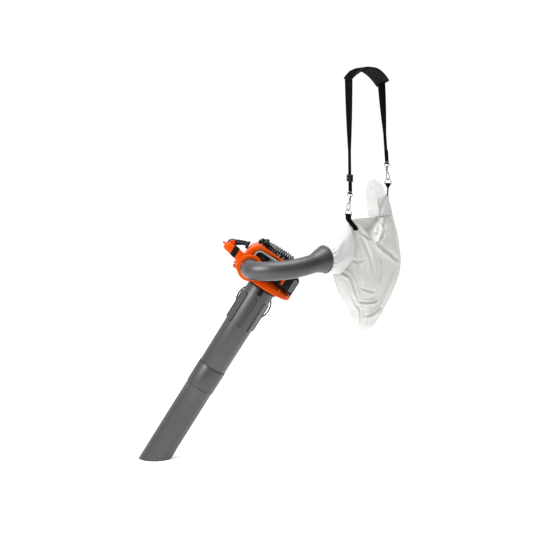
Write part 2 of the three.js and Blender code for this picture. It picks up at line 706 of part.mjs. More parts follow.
const TRIGGER = { x: GRIP.x + 11, y: 44 };
function rearArm() {
  const start = GRIP.front + 33;
  const bar = loft([
    gripSection([GRIP.x, start, GRIP.z], ACROSS_X, 34, 34),
    gripSection([GRIP.x, 10, GRIP.z], ACROSS_X, 36, 36),
    gripSection([GRIP.x + 2, 60, GRIP.z + 2], ACROSS_X, 34, 34),
    gripSection([GRIP.x + 8, GRIP.back - 4, GRIP.z + 8], ACROSS_X, 32, 32),
    gripSection([GRIP.x + 14, GRIP.back + 10, GRIP.z + 12], ACROSS_X, 22, 24),
  ]);
  const arm = loft([
    gripSection([-142, 60, 106], ACROSS_Y, 26, 20),
    gripSection([-158, 66, 101], ACROSS_Y, 26, 22),
    gripSection([-180, 74, 88], ACROSS_Y, 28, 28),
    gripSection([-202, 78, 78], ACROSS_Y, 24, 26),
  ]);
  const foot = roundedBlock(10, 34, 30, 4).translate(-140.8, 50, 104);
  const groove = box(34, 66, 14).translate(GRIP.x + 16, 24, GRIP.z);
  return cut(join(bar, arm, foot), groove);
}

function throttleTrigger() {
  const outline = [[2, -3], [2, 4], [-4, 4], [-8, -2], [14, -46], [17, -50], [20, -46], [13, -30],
    [10, -14]].map(([x, y]) => [TRIGGER.x - 2 + x, TRIGGER.y + y]);
  return plate(outline.reverse(), GRIP.z - 5.5, GRIP.z + 5.5);
}

const CRUISE = { x: -210, y: GRIP.front, z: 90 };
function cruiseLever() {
  const { x, y, z } = CRUISE;
  const hub = rod(9, 9, 20).translate(x, y, z + 4.5);
  const tab = roundedBlock(22, 9, 8, 3).translate(x + 6, y, z + 8);
  return join(hub, tab);
}

function stopSwitch() {
  const rocker = roundedBlock(8, 16, 12, 2).rotateY(Math.PI / 2);
  return rocker.translate(GRIP.x - 25, -10, GRIP.z);
}

add(machine, "handle_front", handleFront(), ORANGE);
add(machine, "handle_grip_band", gripBand(), RUBBER);
add(machine, "handle_rear_arm", rearArm(), DARK_GREY);
add(machine, "throttle_trigger", throttleTrigger(), BLACK);
add(machine, "cruise_lever", cruiseLever(), RED);
add(machine, "stop_switch", stopSwitch(), RED);

// ---- Elbow tube from the outlet to the bag, in the ground's frame ----
const ductMouth = onGround(DUCT.x, DUCT.end + 26, DUCT.z);
const BAG_TURN = rad(45); // the elbow's end, the bag and the strap all lie this far round from +X
const ELBOW_END = [704, -112, 858];
const elbowCurve = smoothCurve([
  ductMouth.toArray(),
  [ductMouth.x, -120, ductMouth.z],
  [ductMouth.x, -138, ductMouth.z],
  [ductMouth.x, -156, ductMouth.z],
  [ductMouth.x + 20, -198, ductMouth.z],
  [482, -224, 825],
  [549, -217, 829],
  [619, -187, 839],
  [672, -144, 850],
  ELBOW_END,
]);
const flareAt = (t) => (FLARE_R - ELBOW_R) * THREE.MathUtils.smoothstep(t, 0.82, 0.98);
const elbowRadius = (wall) => (t) => ELBOW_R + flareAt(t) - wall;

function elbowTube() {
  return cut(
    loft(tubeRings(elbowCurve, elbowRadius(0), 16, 18)),
    loft(stretchedEnds(tubeRings(elbowCurve, elbowRadius(ELBOW_WALL), 16, 18))),
  );
}

// Moves the first and last ring 1 mm outwards, so that a cut runs past both ends.
function stretchedEnds(rings) {
  const shift = (a, b) => a.clone().sub(b).normalize();
  const first = shift(rings[0][0], rings[1][0]);
  const last = shift(rings.at(-1)[0], rings.at(-2)[0]);
  return [
    rings[0].map((p) => p.clone().add(first)),
    ...rings.slice(1, -1),
    rings.at(-1).map((p) => p.clone().add(last)),
  ];
}

add(ground, "elbow_tube", elbowTube(), TUBE_GREY);

// ---- Bag ----
// bagPoint: s runs along the bag from the elbow's end, n towards its front, z is the height.
const along = new Vector3(Math.cos(BAG_TURN), Math.sin(BAG_TURN), 0);
const outward = new Vector3(Math.sin(BAG_TURN), -Math.cos(BAG_TURN), 0);
const bagPoint = (s, n, z) =>
  new Vector3(ELBOW_END[0], ELBOW_END[1], z).addScaledVector(along, s).addScaledVector(outward, n);

// The bag's level sections: [height, centre, half length, half thickness].
const BAG_LEVELS = [
  [524, 246, 10, 8],
  [545, 248, 42, 26],
  [600, 254, 94, 48],
  [680, 258, 154, 62],
  [760, 264, 196, 68],
  [830, 272, 194, 68],
  [900, 282, 172, 60],
  [960, 288, 148, 44],
  [1000, 298, 128, 26],
  [1050, 360, 56, 14],
  [1098, 388, 16, 8],
];

function bagRings(inset) {
  return BAG_LEVELS.map(([z, centre, half, thick], level) => {
    const lift = level === 0 ? inset : level === BAG_LEVELS.length - 1 ? -inset : 0;
    return Array.from({ length: 18 }, (_, i) => {
      const angle = (i / 18) * TAU;
      const s = centre + Math.max(half - inset, 2) * Math.cos(angle);
      const n = -Math.max(thick - inset, 2) * Math.sin(angle);
      return bagPoint(s, n, z + lift);
    });
  });
}

// The bag's neck: a cone about a level line from the elbow into the bag.
const NECK = { start: -30, end: 150, r0: 57, r1: 74, wall: 2.5 };
function neckCone(inset, from, to) {
  const radiusAt = (s) =>
    THREE.MathUtils.mapLinear(s, NECK.start, NECK.end, NECK.r0, NECK.r1) - inset;
  return loft(
    [from, to].map((s) =>
      Array.from({ length: 20 }, (_, i) => {
        const angle = (i / 20) * TAU;
        const n = radiusAt(s) * Math.cos(angle);
        return bagPoint(s, -n, ELBOW_END[2] + radiusAt(s) * Math.sin(angle));
      }),
    ),
  );
}

function bag() {
  return cut(loft(bagRings(0)), loft(bagRings(BAG_WALL)), neckCone(NECK.wall + 6, 40, NECK.end - 4));
}

function bagSleeve() {
  const { start, end, wall } = NECK;
  return cut(neckCone(0, start, end), neckCone(wall, start - 1, end + 1), loft(bagRings(-GAP)));
}

add(ground, "bag", bag(), CLOTH);
add(ground, "bag_sleeve", bagSleeve(), CLOTH);

// ---- Strap: webbing legs, pad, hooks and the bag's loops ----
// A flat strip through [s, n, z, turn] stations, where turn swings its width round the upright axis.
function ribbon(stations, width, thick) {
  const upright = new Vector3(0, 0, 1);
  return loft(
    stations.map(([s, n, z, turn]) => {
      const side = outward.clone().applyAxisAngle(upright, turn);
      const face = along.clone().applyAxisAngle(upright, turn);
      const corner = (i, j) =>
        bagPoint(s, n, z)
          .addScaledVector(side, (i * width) / 2)
          .addScaledVector(face, (j * thick) / 2);
      return [corner(-1, -1), corner(1, -1), corner(1, 1), corner(-1, 1)];
    }),
  );
}

const FRONT = { s: 150, hookTop: 1106, loopFoot: 968, lean: 38, top: 1571, topS: 135, side: -1 };
const REAR = { s: 383, hookTop: 1219, loopFoot: 1096, lean: -4, top: 1557, topS: 341, side: 1 };
const TWIST = rad(-24); // of the strap's legs, away from square to the bag
const RING_OFFSET = 9; // from the strap's line to the hook's bend, where the ring hangs
const RAIL = -79.6; // height of the ring's lower bar below the hook's top
const EYE_BAR = 9.5; // height of the bar that the webbing folds round
const PAD = { s0: 131, s1: 352, foot0: 1576, foot1: 1557, crown: 1621, crownAt: 0.45, width: 70, thick: 9 };

function shoulderPad() {
  const at = (t) => {
    const before = (PAD.crown - PAD.foot0) * Math.max(0, 1 - t / PAD.crownAt) ** 2.2;
    const after = (PAD.crown - PAD.foot1) * Math.max(0, (t - PAD.crownAt) / (1 - PAD.crownAt)) ** 1.4;
    return new THREE.Vector2(THREE.MathUtils.lerp(PAD.s0, PAD.s1, t), PAD.crown - before - after);
  };
  const steps = 12;
  return loft(
    Array.from({ length: steps + 1 }, (_, i) => {
      const t = i / steps;
      const run = at(Math.min(1, t + 0.02)).sub(at(Math.max(0, t - 0.02))).normalize();
      const corner = (across, up) =>
        bagPoint(at(t).x - up * run.y, across, at(t).y + up * run.x);
      const half = PAD.thick / 2;
      const low = [corner(-PAD.width / 2, -half), corner(PAD.width / 2, -half)];
      return [...low, corner(PAD.width / 2, half), corner(-PAD.width / 2, half)].reverse();
    }),
  );
}

// Where the middle of a strap's leg is at a height.
const legCentre = (hook, z) =>
  THREE.MathUtils.mapLinear(z, hook.hookTop, hook.top, hook.s, hook.topS);

function strapLeg(hook) {
  const foot = hook.hookTop + 16;
  const station = (share, turn) => {
    const z = THREE.MathUtils.lerp(foot, hook.top, share);
    return [legCentre(hook, z), 0, z, turn];
  };
  const leg = ribbon(
    [station(0, TWIST), station(0.55, TWIST), station(0.75, TWIST * 0.7), station(0.9, TWIST * 0.3),
      station(1, 0)],
    STRAP_WIDTH,
    STRAP_THICK,
  );
  const low = hook.hookTop + 1.5;
  const high = hook.hookTop + 20;
  const fold = ribbon([[hook.s, 0, low, TWIST], [hook.s, 0, high, TWIST]], STRAP_WIDTH, 10);
  const barHole = atHook(box(5.4, 60, 5.4).translate(0, 0, EYE_BAR), hook, TWIST);
  return cut(join(leg, fold), barHole);
}

// Places a piece drawn in its own frame (x along the bag, z up) at a strap's foot.
function atHook(geometry, hook, turn = 0) {
  const place = bagPoint(hook.s, 0, hook.hookTop);
  return geometry
    .rotateZ(BAG_TURN + turn + (hook.side < 0 ? Math.PI : 0))
    .translate(place.x, place.y, place.z);
}

function swivelEye(hook) {
  const frame = cut(box(4, 50, 15), box(8, 42.5, 7)).translate(0, 0, 4);
  const boss = rod(6, 8, 12).translate(0, 0, -7);
  return atHook(join(frame, boss), hook, TWIST);
}

function hookBody(hook) {
  const shank = rod(4.5, 12, 12).translate(0, 0, -18);
  const path = [[0, 0, -22], [0, 0, -36], [0, 0, -50], [3, 0, -58], [RING_OFFSET, 0, -61.5],
    [15, 0, -58], [18, 0, -50], [19, 0, -44]];
  return atHook(join(shank, wire(path, 2.4, 6, 14)), hook);
}

function hookGate(hook) {
  const leaf = box(3, 4, 19).rotateY(rad(-42)).translate(10.4, 0, -33.6);
  return atHook(leaf, hook);
}

function ringLoop(hook) {
  const bow = (r, foot) => [[r, foot], [r, 8], [r * 0.8, 15], [r * 0.45, 21]];
  const outline = (r, foot, crown) => {
    const right = bow(r, foot);
    const left = right.map(([y, z]) => [-y, z]).reverse();
    return [...right, [0, crown], ...left];
  };
  const bar = panel(outline(19.5, -2, 26), -2, 2);
  const opening = panel(outline(15.5, 2, 22).map(([y, z]) => [y * 0.99, z * 0.97]), -3, 3);
  const ringShape = cut(bar, opening).rotateZ(Math.PI / 2);
  return atHook(ringShape.translate(RING_OFFSET, 0, RAIL), hook);
}

function bagLoop(hook) {
  const s = hook.s + RING_OFFSET * hook.side;
  const rail = hook.hookTop + RAIL;
  const top = rail + 6;
  const strip = ribbon(
    [
      [s + hook.lean, 0, hook.loopFoot + 4, 0],
      [s + hook.lean / 2, 0, (top + hook.loopFoot) / 2, 0],
      [s, 0, top - 14, 0],
      [s, 0, top, 0],
    ],
    24,
    10,
  );
  const barHole = atHook(box(6, 40, 6).translate(RING_OFFSET, 0, RAIL), hook);
  return cut(strip, barHole, loft(bagRings(-GAP)));
}

function strapAdjuster() {
  const z = 1177;
  const station = (height) => [legCentre(FRONT, height), 0, height, TWIST];
  const plateBody = ribbon([station(z - 16), station(z + 16)], STRAP_WIDTH + 11, 12);
  const slot = ribbon([station(z - 17), station(z + 17)], STRAP_WIDTH + 2, STRAP_THICK + 2.4);
  return cut(plateBody, slot);
}

for (const [name, hook] of Object.entries({ front: FRONT, rear: REAR })) {
  add(ground, name + "_bag_loop", bagLoop(hook), WEBBING);
  add(ground, name + "_ring", ringLoop(hook), STEEL);
  add(ground, name + "_hook", hookBody(hook), STEEL);
  add(ground, name + "_hook_gate", hookGate(hook), STEEL);
  add(ground, name + "_swivel_eye", swivelEye(hook), STEEL);
  add(ground, "strap_" + name + "_leg", strapLeg(hook), WEBBING);
}
add(ground, "strap_adjuster", strapAdjuster(), BLACK);
add(ground, "shoulder_pad", shoulderPad(), WEBBING);

export default blower;
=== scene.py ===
"""Visual model of a hand-held petrol leaf vacuum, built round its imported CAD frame. Metres, +Z up."""
import json
from math import copysign, cos, exp, hypot, pi, radians, sin, sqrt, tan

import bmesh
import bpy
from mathutils import Matrix, Vector, noise


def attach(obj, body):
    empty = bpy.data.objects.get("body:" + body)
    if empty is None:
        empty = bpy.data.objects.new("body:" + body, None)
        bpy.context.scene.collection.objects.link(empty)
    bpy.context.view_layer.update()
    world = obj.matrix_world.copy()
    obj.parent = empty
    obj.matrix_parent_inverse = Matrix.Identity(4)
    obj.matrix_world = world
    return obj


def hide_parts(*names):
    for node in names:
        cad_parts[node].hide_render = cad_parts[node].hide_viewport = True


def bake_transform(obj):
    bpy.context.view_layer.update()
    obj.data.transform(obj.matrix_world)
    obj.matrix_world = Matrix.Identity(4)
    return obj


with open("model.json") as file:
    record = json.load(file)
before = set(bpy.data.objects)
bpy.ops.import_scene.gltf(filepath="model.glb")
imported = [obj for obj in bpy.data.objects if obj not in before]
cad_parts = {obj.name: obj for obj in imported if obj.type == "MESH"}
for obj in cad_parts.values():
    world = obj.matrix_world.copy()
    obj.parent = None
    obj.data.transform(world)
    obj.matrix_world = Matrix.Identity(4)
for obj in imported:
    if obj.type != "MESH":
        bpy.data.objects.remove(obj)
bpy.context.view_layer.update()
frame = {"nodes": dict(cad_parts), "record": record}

NODES = frame["nodes"]
TAU = 2 * pi
MM = 0.001

# ---- The CAD model's own places, repeated from part.mjs ----
TILT = radians(31.9)
TUBE_RUN = 864
GRIP = Vector((-206, 10, 68))
ELBOW_END = Vector((704, -112, 858))
BAG_TURN = radians(45)
DUCT = dict(x=-92, z=48, r=45.5, end=-128)
STARTER = dict(x=-14, r=62, floor=143, top=166)
TUBE_R = 60.5
COUPLING_Z = -400
DOOR = dict(x=8, z=-92, r=73)
RING_OFFSET = 9
RAIL = -79.6
EYE_BAR = 9.5
TWIST = radians(-24)
FOOT_TWIST = radians(-34)
FRONT = dict(name="front", s=150, hook_top=1106, loop_foot=968, lean=38, top=1571, top_s=135, side=-1,
        loop_turn=90, turn_over=(0.1, 0.9), proud=26)
REAR = dict(name="rear", s=383, hook_top=1219, loop_foot=1096, lean=-4, top=1557, top_s=341, side=1,
        loop_turn=-48, turn_over=(0.6, 1.15), proud=0)
PAD = dict(s0=131, s1=352, foot0=1576, foot1=1557, crown=1617, crown_at=0.45, width=70, thick=9)
ROPE_Y, ROPE_Z = -27, 151

LEAN = Matrix.Rotation(TILT, 3, "Y")
GRIP_ON_GROUND = LEAN @ (GRIP + Vector((0, 0, TUBE_RUN)))
ALONG = Vector((cos(BAG_TURN), sin(BAG_TURN), 0))
OUTWARD = Vector((sin(BAG_TURN), -cos(BAG_TURN), 0))
UP = Vector((0, 0, 1))
X_AXIS = Vector((1, 0, 0))
Y_AXIS = Vector((0, 1, 0))
# The machine's own axes: it leans over with the intake tube.
LEAN_X, LEAN_Z = LEAN @ X_AXIS, LEAN @ UP


def machine(x, y, z):
    """A point given in the machine's own frame, in mm."""
    return LEAN @ (Vector((x, y, z)) - GRIP) * MM


def ground(x, y, z):
    """A point given by its height over the ground and its place from the tube's foot, in mm."""
    return (Vector((x, y, z)) - GRIP_ON_GROUND) * MM


def bag_point(s, n, z):
    """s runs along the bag from the elbow, n towards its front, z is the height, in mm."""
    place = Vector((ELBOW_END.x, ELBOW_END.y, z)) + ALONG * s + OUTWARD * n
    return (place - GRIP_ON_GROUND) * MM


def lerp(a, b, t):
    return a + (b - a) * t


def smooth(low, high, x):
    t = min(1, max(0, (x - low) / (high - low)))
    return t * t * (3 - 2 * t)


def power(x, p):
    """x with its size raised to p and its sign kept: p below 1 squares off a round outline."""
    return copysign(abs(x) ** p, x)


def circle(steps, turn=1):
    """Cosine and sine of evenly spaced angles, once round."""
    return [(cos(turn * TAU * j / steps), sin(turn * TAU * j / steps)) for j in range(steps)]


def disc(centre, u, v, radius, steps):
    """A ring of points round centre, in the plane of u and v."""
    return [centre + (u * c + v * s) * radius for c, s in circle(steps)]


def ripple(x, y, z):
    """Smooth noise, from about -1 to 1."""
    return noise.noise(Vector((x, y, z)))


# ---- Materials ----
MAT = {}


class Nodes:
    """A node tree, with short ways to add to it."""

    def __init__(self, tree):
        self.tree = tree

    def add(self, kind, **values):
        node = self.tree.nodes.new("ShaderNode" + kind)
        for key, value in values.items():
            if hasattr(node, key):
                setattr(node, key, value)
            else:
                node.inputs[key.replace("_", " ")].default_value = value
        return node

    def link(self, source, target):
        self.tree.links.new(source, target)
        return source

    def texture(self, place, kind, **values):
        node = self.add(kind, **values)
        self.link(place, node.inputs["Vector"])
        return node.outputs["Fac"]

    def noise(self, place, scale, detail=3.0, roughness=0.55):
        return self.texture(place, "TexNoise", Scale=scale, Detail=detail, Roughness=roughness)

    def wave(self, place, scale, direction, distortion=0.0):
        return self.texture(place, "TexWave", wave_type="BANDS", bands_direction=direction, wave_profile="SIN",
                Scale=scale, Distortion=distortion)

    def math(self, operation, a, b):
        node = self.add("Math", operation=operation)
        for socket, value in zip(node.inputs, (a, b)):
            if isinstance(value, float):
                socket.default_value = value
            else:
                self.link(value, socket)
        return node.outputs["Value"]

    def ramp(self, fac, stops):
        node = self.add("ValToRGB")
        self.link(fac, node.inputs["Fac"])
        while len(node.color_ramp.elements) < len(stops):
            node.color_ramp.elements.new(0.5)
        for element, (position, color) in zip(node.color_ramp.elements, stops):
            element.position = position
            element.color = (*color, 1)
        return node.outputs["Color"]

    def range(self, fac, low, high, from_low=0.0, from_high=1.0, kind="LINEAR"):
        node = self.add("MapRange", interpolation_type=kind, From_Min=from_low, From_Max=from_high,
                To_Min=low, To_Max=high)
        self.link(fac, node.inputs["Value"])
        return node.outputs["Result"]


class Surface(Nodes):
    """A new material and its shader."""

    def __init__(self, name):
        MAT[name] = bpy.data.materials.new(name)
        MAT[name].use_nodes = True
        super().__init__(MAT[name].node_tree)
        self.shader = self.tree.nodes["Principled BSDF"]

    def place(self, attribute=None):
        """Where a surface point is: the piece's own flat pattern if it has one, or space."""
        if attribute:
            return self.add("Attribute", attribute_name=attribute).outputs["Vector"]
        return self.add("TexCoord").outputs["Object"]

    def bump(self, height, strength, distance, normal=None):
        node = self.add("Bump", Strength=strength, Distance=distance)
        self.link(height, node.inputs["Height"])
        if normal is not None:
            self.link(normal, node.inputs["Normal"])
        return self.link(node.outputs["Normal"], self.shader.inputs["Normal"])

    def give(self, **values):
        """A number or colour goes on the shader's own socket, and a node's output is linked to it."""
        for key, value in values.items():
            socket = self.shader.inputs[key.replace("_", " ")]
            if isinstance(value, bpy.types.NodeSocket):
                self.link(value, socket)
            else:
                socket.default_value = value


def shade(color, factor):
    return tuple(min(1, c * factor) for c in color)


def plastic(name, color, roughness, wear=1.6, grain=2600, speck=0.1, coat=0.0, shine=0.5):
    """Moulded plastic: a fine grain, faint cloudiness, lighter worn edges and handling marks."""
    m = Surface(name)
    place = m.place()
    base = m.ramp(m.noise(place, 14, 4), [(0.25, shade(color, 1 - speck)), (0.75, shade(color, 1 + speck))])
    edge = m.range(m.add("NewGeometry").outputs["Pointiness"], 0, 1, 0.52, 0.6)
    marks = m.math("MULTIPLY", edge, m.range(m.noise(place, 160, 5), 0, 1, 0.4, 0.7))
    worn = m.add("Mix", data_type="RGBA")
    m.link(marks, worn.inputs["Factor"])
    m.link(base, worn.inputs[6])
    worn.inputs[7].default_value = (*shade(color, wear), 1)
    broad = m.bump(m.noise(place, 45, 2), 0.04, 0.002)
    m.bump(m.noise(place, grain, 2), 0.12, 0.00025, broad)
    m.give(Base_Color=worn.outputs[2], Specular_IOR_Level=shine, Coat_Weight=coat, Coat_Roughness=0.18,
           Roughness=m.range(m.noise(place, 60, 6), roughness - 0.07, roughness + 0.1))


def metal(name, color, roughness, brushed=(1, 1, 14)):
    """Bright or cast metal: fine drawn lines or grain, with a little dullness in patches."""
    m = Surface(name)
    place = m.place()
    stretch = m.add("Mapping", Scale=brushed)
    m.link(place, stretch.inputs["Vector"])
    lines = m.noise(stretch.outputs["Vector"], 300, 4)
    tint = m.ramp(m.noise(place, 30, 4), [(0.3, shade(color, 0.82)), (0.7, shade(color, 1.08))])
    m.bump(lines, 0.15, 0.0002)
    m.give(Base_Color=tint, Roughness=m.range(lines, roughness - 0.08, roughness + 0.16), Metallic=1.0)


def woven(name, color, thread, gloss=0.62, rib=0.5, light=1.9):
    """Woven webbing or pack cloth: warp and weft crossing, with some threads lighter than others."""
    m = Surface(name)
    place = m.place("flat")
    over = m.math("MULTIPLY", m.wave(place, 0.314 / thread, "X"), m.wave(place, 0.314 / thread * rib, "Y", 0.4))
    fuzz = m.noise(place, 900, 4)
    mixed = m.math("ADD", m.math("MULTIPLY", over, 0.5), m.math("MULTIPLY", m.noise(place, 25, 4), 0.6))
    m.bump(m.math("ADD", over, m.math("MULTIPLY", fuzz, 0.35)), 0.25, 0.0005)
    m.give(Base_Color=m.ramp(mixed, [(0.2, shade(color, 0.55)), (0.75, shade(color, light))]),
           Roughness=m.range(fuzz, gloss - 0.1, gloss + 0.15), Specular_IOR_Level=0.0)


def bag_cloth(name, color, through=0.35, cover=1.0):
    """Thin off-white cloth that lets some light through, finely woven, creased and a little dusty, with painted
    shade darker in the creases.
    """
    m = Surface(name)
    place, space = m.place("flat"), m.place()
    weave = m.math("MULTIPLY", m.wave(place, 420, "X"), m.wave(place, 420, "Y"))
    creases = m.noise(space, 22, 6, 0.62)
    # The colour mixes random dust with the creases' bump noise: painted shade, darker where the creases sink.
    tone = m.math("ADD", m.math("MULTIPLY", m.noise(space, 6, 3), 0.65), m.math("MULTIPLY", creases, 0.35))
    dust_and_crease_shade = m.ramp(tone, [(0.3, shade(color, 0.9)), (0.55, color), (0.8, shade(color, 1.04))])
    broad = m.bump(creases, 0.28, 0.006)
    m.bump(weave, 0.25, 0.0003, broad)
    m.give(Base_Color=dust_and_crease_shade, Roughness=m.range(creases, 0.72, 0.92), Sheen_Weight=0.15, Alpha=cover)
    glow = m.add("BsdfTranslucent")
    m.link(dust_and_crease_shade, glow.inputs["Color"])
    both = m.add("MixShader", Fac=through)
    m.link(m.shader.outputs["BSDF"], both.inputs[1])
    m.link(glow.outputs["BSDF"], both.inputs[2])
    m.link(both.outputs["Shader"], m.tree.nodes["Material Output"].inputs["Surface"])


plastic("orange_plastic", (0.53, 0.058, 0.001), 0.34, wear=1.15, shine=0.06)
plastic("red_plastic", (0.46, 0.03, 0.001), 0.34, wear=1.2, shine=0.06)
plastic("tube_plastic", (0.026, 0.026, 0.027), 0.42, wear=1.5, shine=0.6)
plastic("dark_grey_plastic", (0.009, 0.009, 0.010), 0.42, wear=1.9, shine=0.08)
plastic("light_grey_plastic", (0.25, 0.25, 0.26), 0.42, wear=1.3, shine=0.3)
# Pale plastic for the disc under the starter's slats, a painted highlight.
plastic("painted_highlight_plastic", (0.72, 0.72, 0.72), 0.42, wear=1.1, shine=0.3)
plastic("black_plastic", (0.004, 0.004, 0.0045), 0.36, wear=3.0, shine=0.12)
plastic("soft_rubber", (0.004, 0.004, 0.004), 0.72, wear=2.0, grain=1500, speck=0.2, shine=0.08)
plastic("green_plastic", (0.003, 0.07, 0.036), 0.2, wear=1.4, coat=0.4, shine=0.3)
metal("steel", (0.27, 0.27, 0.28), 0.24)
metal("aluminium", (0.42, 0.42, 0.43), 0.45, (6, 6, 6))
bag_cloth("bag_cloth", (0.745, 0.74, 0.722))
# A lighter copy of the bag cloth for the neck: painted light for the neck's brighter lighting.
bag_cloth("bag_cloth_painted_light", (0.78, 0.78, 0.77), through=0.3)
bag_cloth("bag_cloth_thin", (0.72, 0.725, 0.715), through=0.1, cover=0.28)
woven("webbing", (0.0045, 0.0045, 0.005), 0.0016, light=1.4)
woven("pad_fabric", (0.015, 0.015, 0.0155), 0.0022, gloss=0.7, rib=1.0, light=1.5)


# ---- Mesh building ----
class Builder:
    """Collects several closed solids into one piece."""

    def __init__(self):
        self.verts, self.faces, self.flat = [], [], []

    def loft(self, rings, caps=True, flat=None):
        """A skin through rings of points; flat is the cloth's own pattern, a place for each point."""
        base, count = len(self.verts), len(rings[0])
        points = [p for ring in rings for p in ring]
        self.verts += points
        self.flat += flat or [(0, 0, 0)] * len(points)
        for i in range(len(rings) - 1):
            for j in range(count):
                a, b = base + i * count + j, base + i * count + (j + 1) % count
                self.faces.append((a, b, b + count, a + count))
        if caps:
            last = base + (len(rings) - 1) * count
            self.faces.append(tuple(base + j for j in reversed(range(count))))
            self.faces.append(tuple(last + j for j in range(count)))
        return self

    def turned(self, centre, axis, profile, sides=48):
        """A solid of revolution: profile is (radius, height) pairs in mm, once round the section."""
        a = axis.normalized()
        u = a.orthogonal().normalized()
        v = a.cross(u)
        base, n = len(self.verts), len(profile)
        for i, (cosine, sine) in enumerate(circle(sides)):
            out = u * cosine + v * sine
            for r, h in profile:
                self.verts.append(centre + (out * r + a * h) * MM)
                self.flat.append((r * MM * TAU * i / sides, h * MM, 0))
            for j in range(n):
                p, q, k = i * n, (i + 1) % sides * n, (j + 1) % n
                self.faces.append((base + p + j, base + q + j, base + q + k, base + p + k))
        return self

    def torus(self, centre, axis, radius, tube, steps=64, sides=12):
        return self.turned(centre, axis, [(radius + tube * c, tube * s) for c, s in circle(sides)], steps)

    def sweep(self, path, radius, sides=16):
        """A round rod along a path of points; radius is a number or a function of 0 to 1."""
        rings = []
        for i, (p, (_, u, v)) in enumerate(zip(path, transport(path))):
            r = radius(i / (len(path) - 1)) if callable(radius) else radius
            rings.append(disc(p, u, v, r, sides))
        return self.loft(rings)

    def bar(self, centre, x, y, z, size, rounding, steps=3):
        """A block with rounded edges all round; x, y, z are its unit directions, size its full size."""
        hx, hy, hz = (s / 2 for s in size)
        r = min(rounding, hx, hy, hz)
        levels = [(-hz + r * (1 - cos(a)), r * (1 - sin(a)))
                for a in (pi / 2 * i / steps for i in range(steps + 1))]
        levels += [(-h, inset) for h, inset in reversed(levels)]
        rings = []
        for h, inset in levels:
            ring = []
            corner = max(r - inset, r * 0.02)
            for quarter, (sx, sy) in enumerate(((1, 1), (-1, 1), (-1, -1), (1, -1))):
                for i in range(steps + 1):
                    a = (quarter + i / steps) * pi / 2
                    px = sx * (hx - r) + corner * cos(a)
                    py = sy * (hy - r) + corner * sin(a)
                    ring.append(centre + x * px + y * py + z * h)
            rings.append(ring)
        return self.loft(rings)

    def block(self, x, y, z, size, rounding, steps=2):
        """A bar that lies along the machine's own axes, its middle given in mm."""
        return self.bar(machine(x, y, z), LEAN_X, Y_AXIS, LEAN_Z, size, rounding, steps)

    def piece(self, name, slot, body="machine", replaces=None, smooth_angle=40, look=None):
        """Makes the object; look is its material where that isn't the slot's own."""
        mesh = bpy.data.meshes.new(name)
        mesh.from_pydata([tuple(v) for v in self.verts], [], self.faces)
        mesh.validate()
        pattern = mesh.attributes.new("flat", "FLOAT_VECTOR", "POINT")
        pattern.data.foreach_set("vector", [c for point in self.flat for c in point])
        mesh.materials.append(MAT[look or slot])
        mesh.polygons.foreach_set("use_smooth", [True] * len(mesh.polygons))
        bm = bmesh.new()
        bm.from_mesh(mesh)
        bmesh.ops.recalc_face_normals(bm, faces=bm.faces)
        bm.to_mesh(mesh)
        bm.free()
        mesh.set_sharp_from_angle(angle=radians(smooth_angle))
        piece = bpy.data.objects.new(name, mesh)
        bpy.context.scene.collection.objects.link(piece)
        if replaces:
            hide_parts(replaces)
        if body:
            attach(piece, body)
        return piece


def transport(path):
    """Tangent and two cross directions at each point of a path, carried along without twisting."""
    frames = []
    u = None
    for i, p in enumerate(path):
        tangent = (path[min(i + 1, len(path) - 1)] - path[max(i - 1, 0)]).normalized()
        if u is None:
            u = tangent.orthogonal().normalized()
        u = (u - tangent * u.dot(tangent)).normalized()
        frames.append((tangent, u, tangent.cross(u)))
    return frames


def runs(points):
    """How far along a path each of its points is."""
    far = [0.0]
    for a, b in zip(points, points[1:]):
        far.append(far[-1] + (b - a).length)
    return far


def between(p, q, a, b, t):
    """On the line that is at p when t is a, and at q when t is b."""
    return p * ((b - t) / (b - a)) + q * ((t - a) / (b - a))


def curve(points, steps):
    """A smooth path through points, centripetal Catmull-Rom, evenly stepped."""
    pts = [2 * points[0] - points[1], *points, 2 * points[-1] - points[-2]]
    fine = []
    for p in zip(pts, pts[1:], pts[2:], pts[3:]):
        k = [0]
        for a, b in zip(p, p[1:]):
            k.append(k[-1] + max((b - a).length, 1e-9) ** 0.5)
        for i in range(24):
            t = k[1] + (k[2] - k[1]) * i / 24
            a1, a2, a3 = (between(p[j], p[j + 1], k[j], k[j + 1], t) for j in range(3))
            fine.append(between(between(a1, a2, k[0], k[2], t), between(a2, a3, k[1], k[3], t), k[1], k[2], t))
    fine.append(points[-1].copy())
    lengths = runs(fine)
    out = []
    k = 0
    for i in range(steps + 1):
        want = lengths[-1] * i / steps
        while k < len(lengths) - 2 and lengths[k + 1] < want:
            k += 1
        span = lengths[k + 1] - lengths[k]
        out.append(fine[k].lerp(fine[k + 1], (want - lengths[k]) / span if span else 0))
    return out


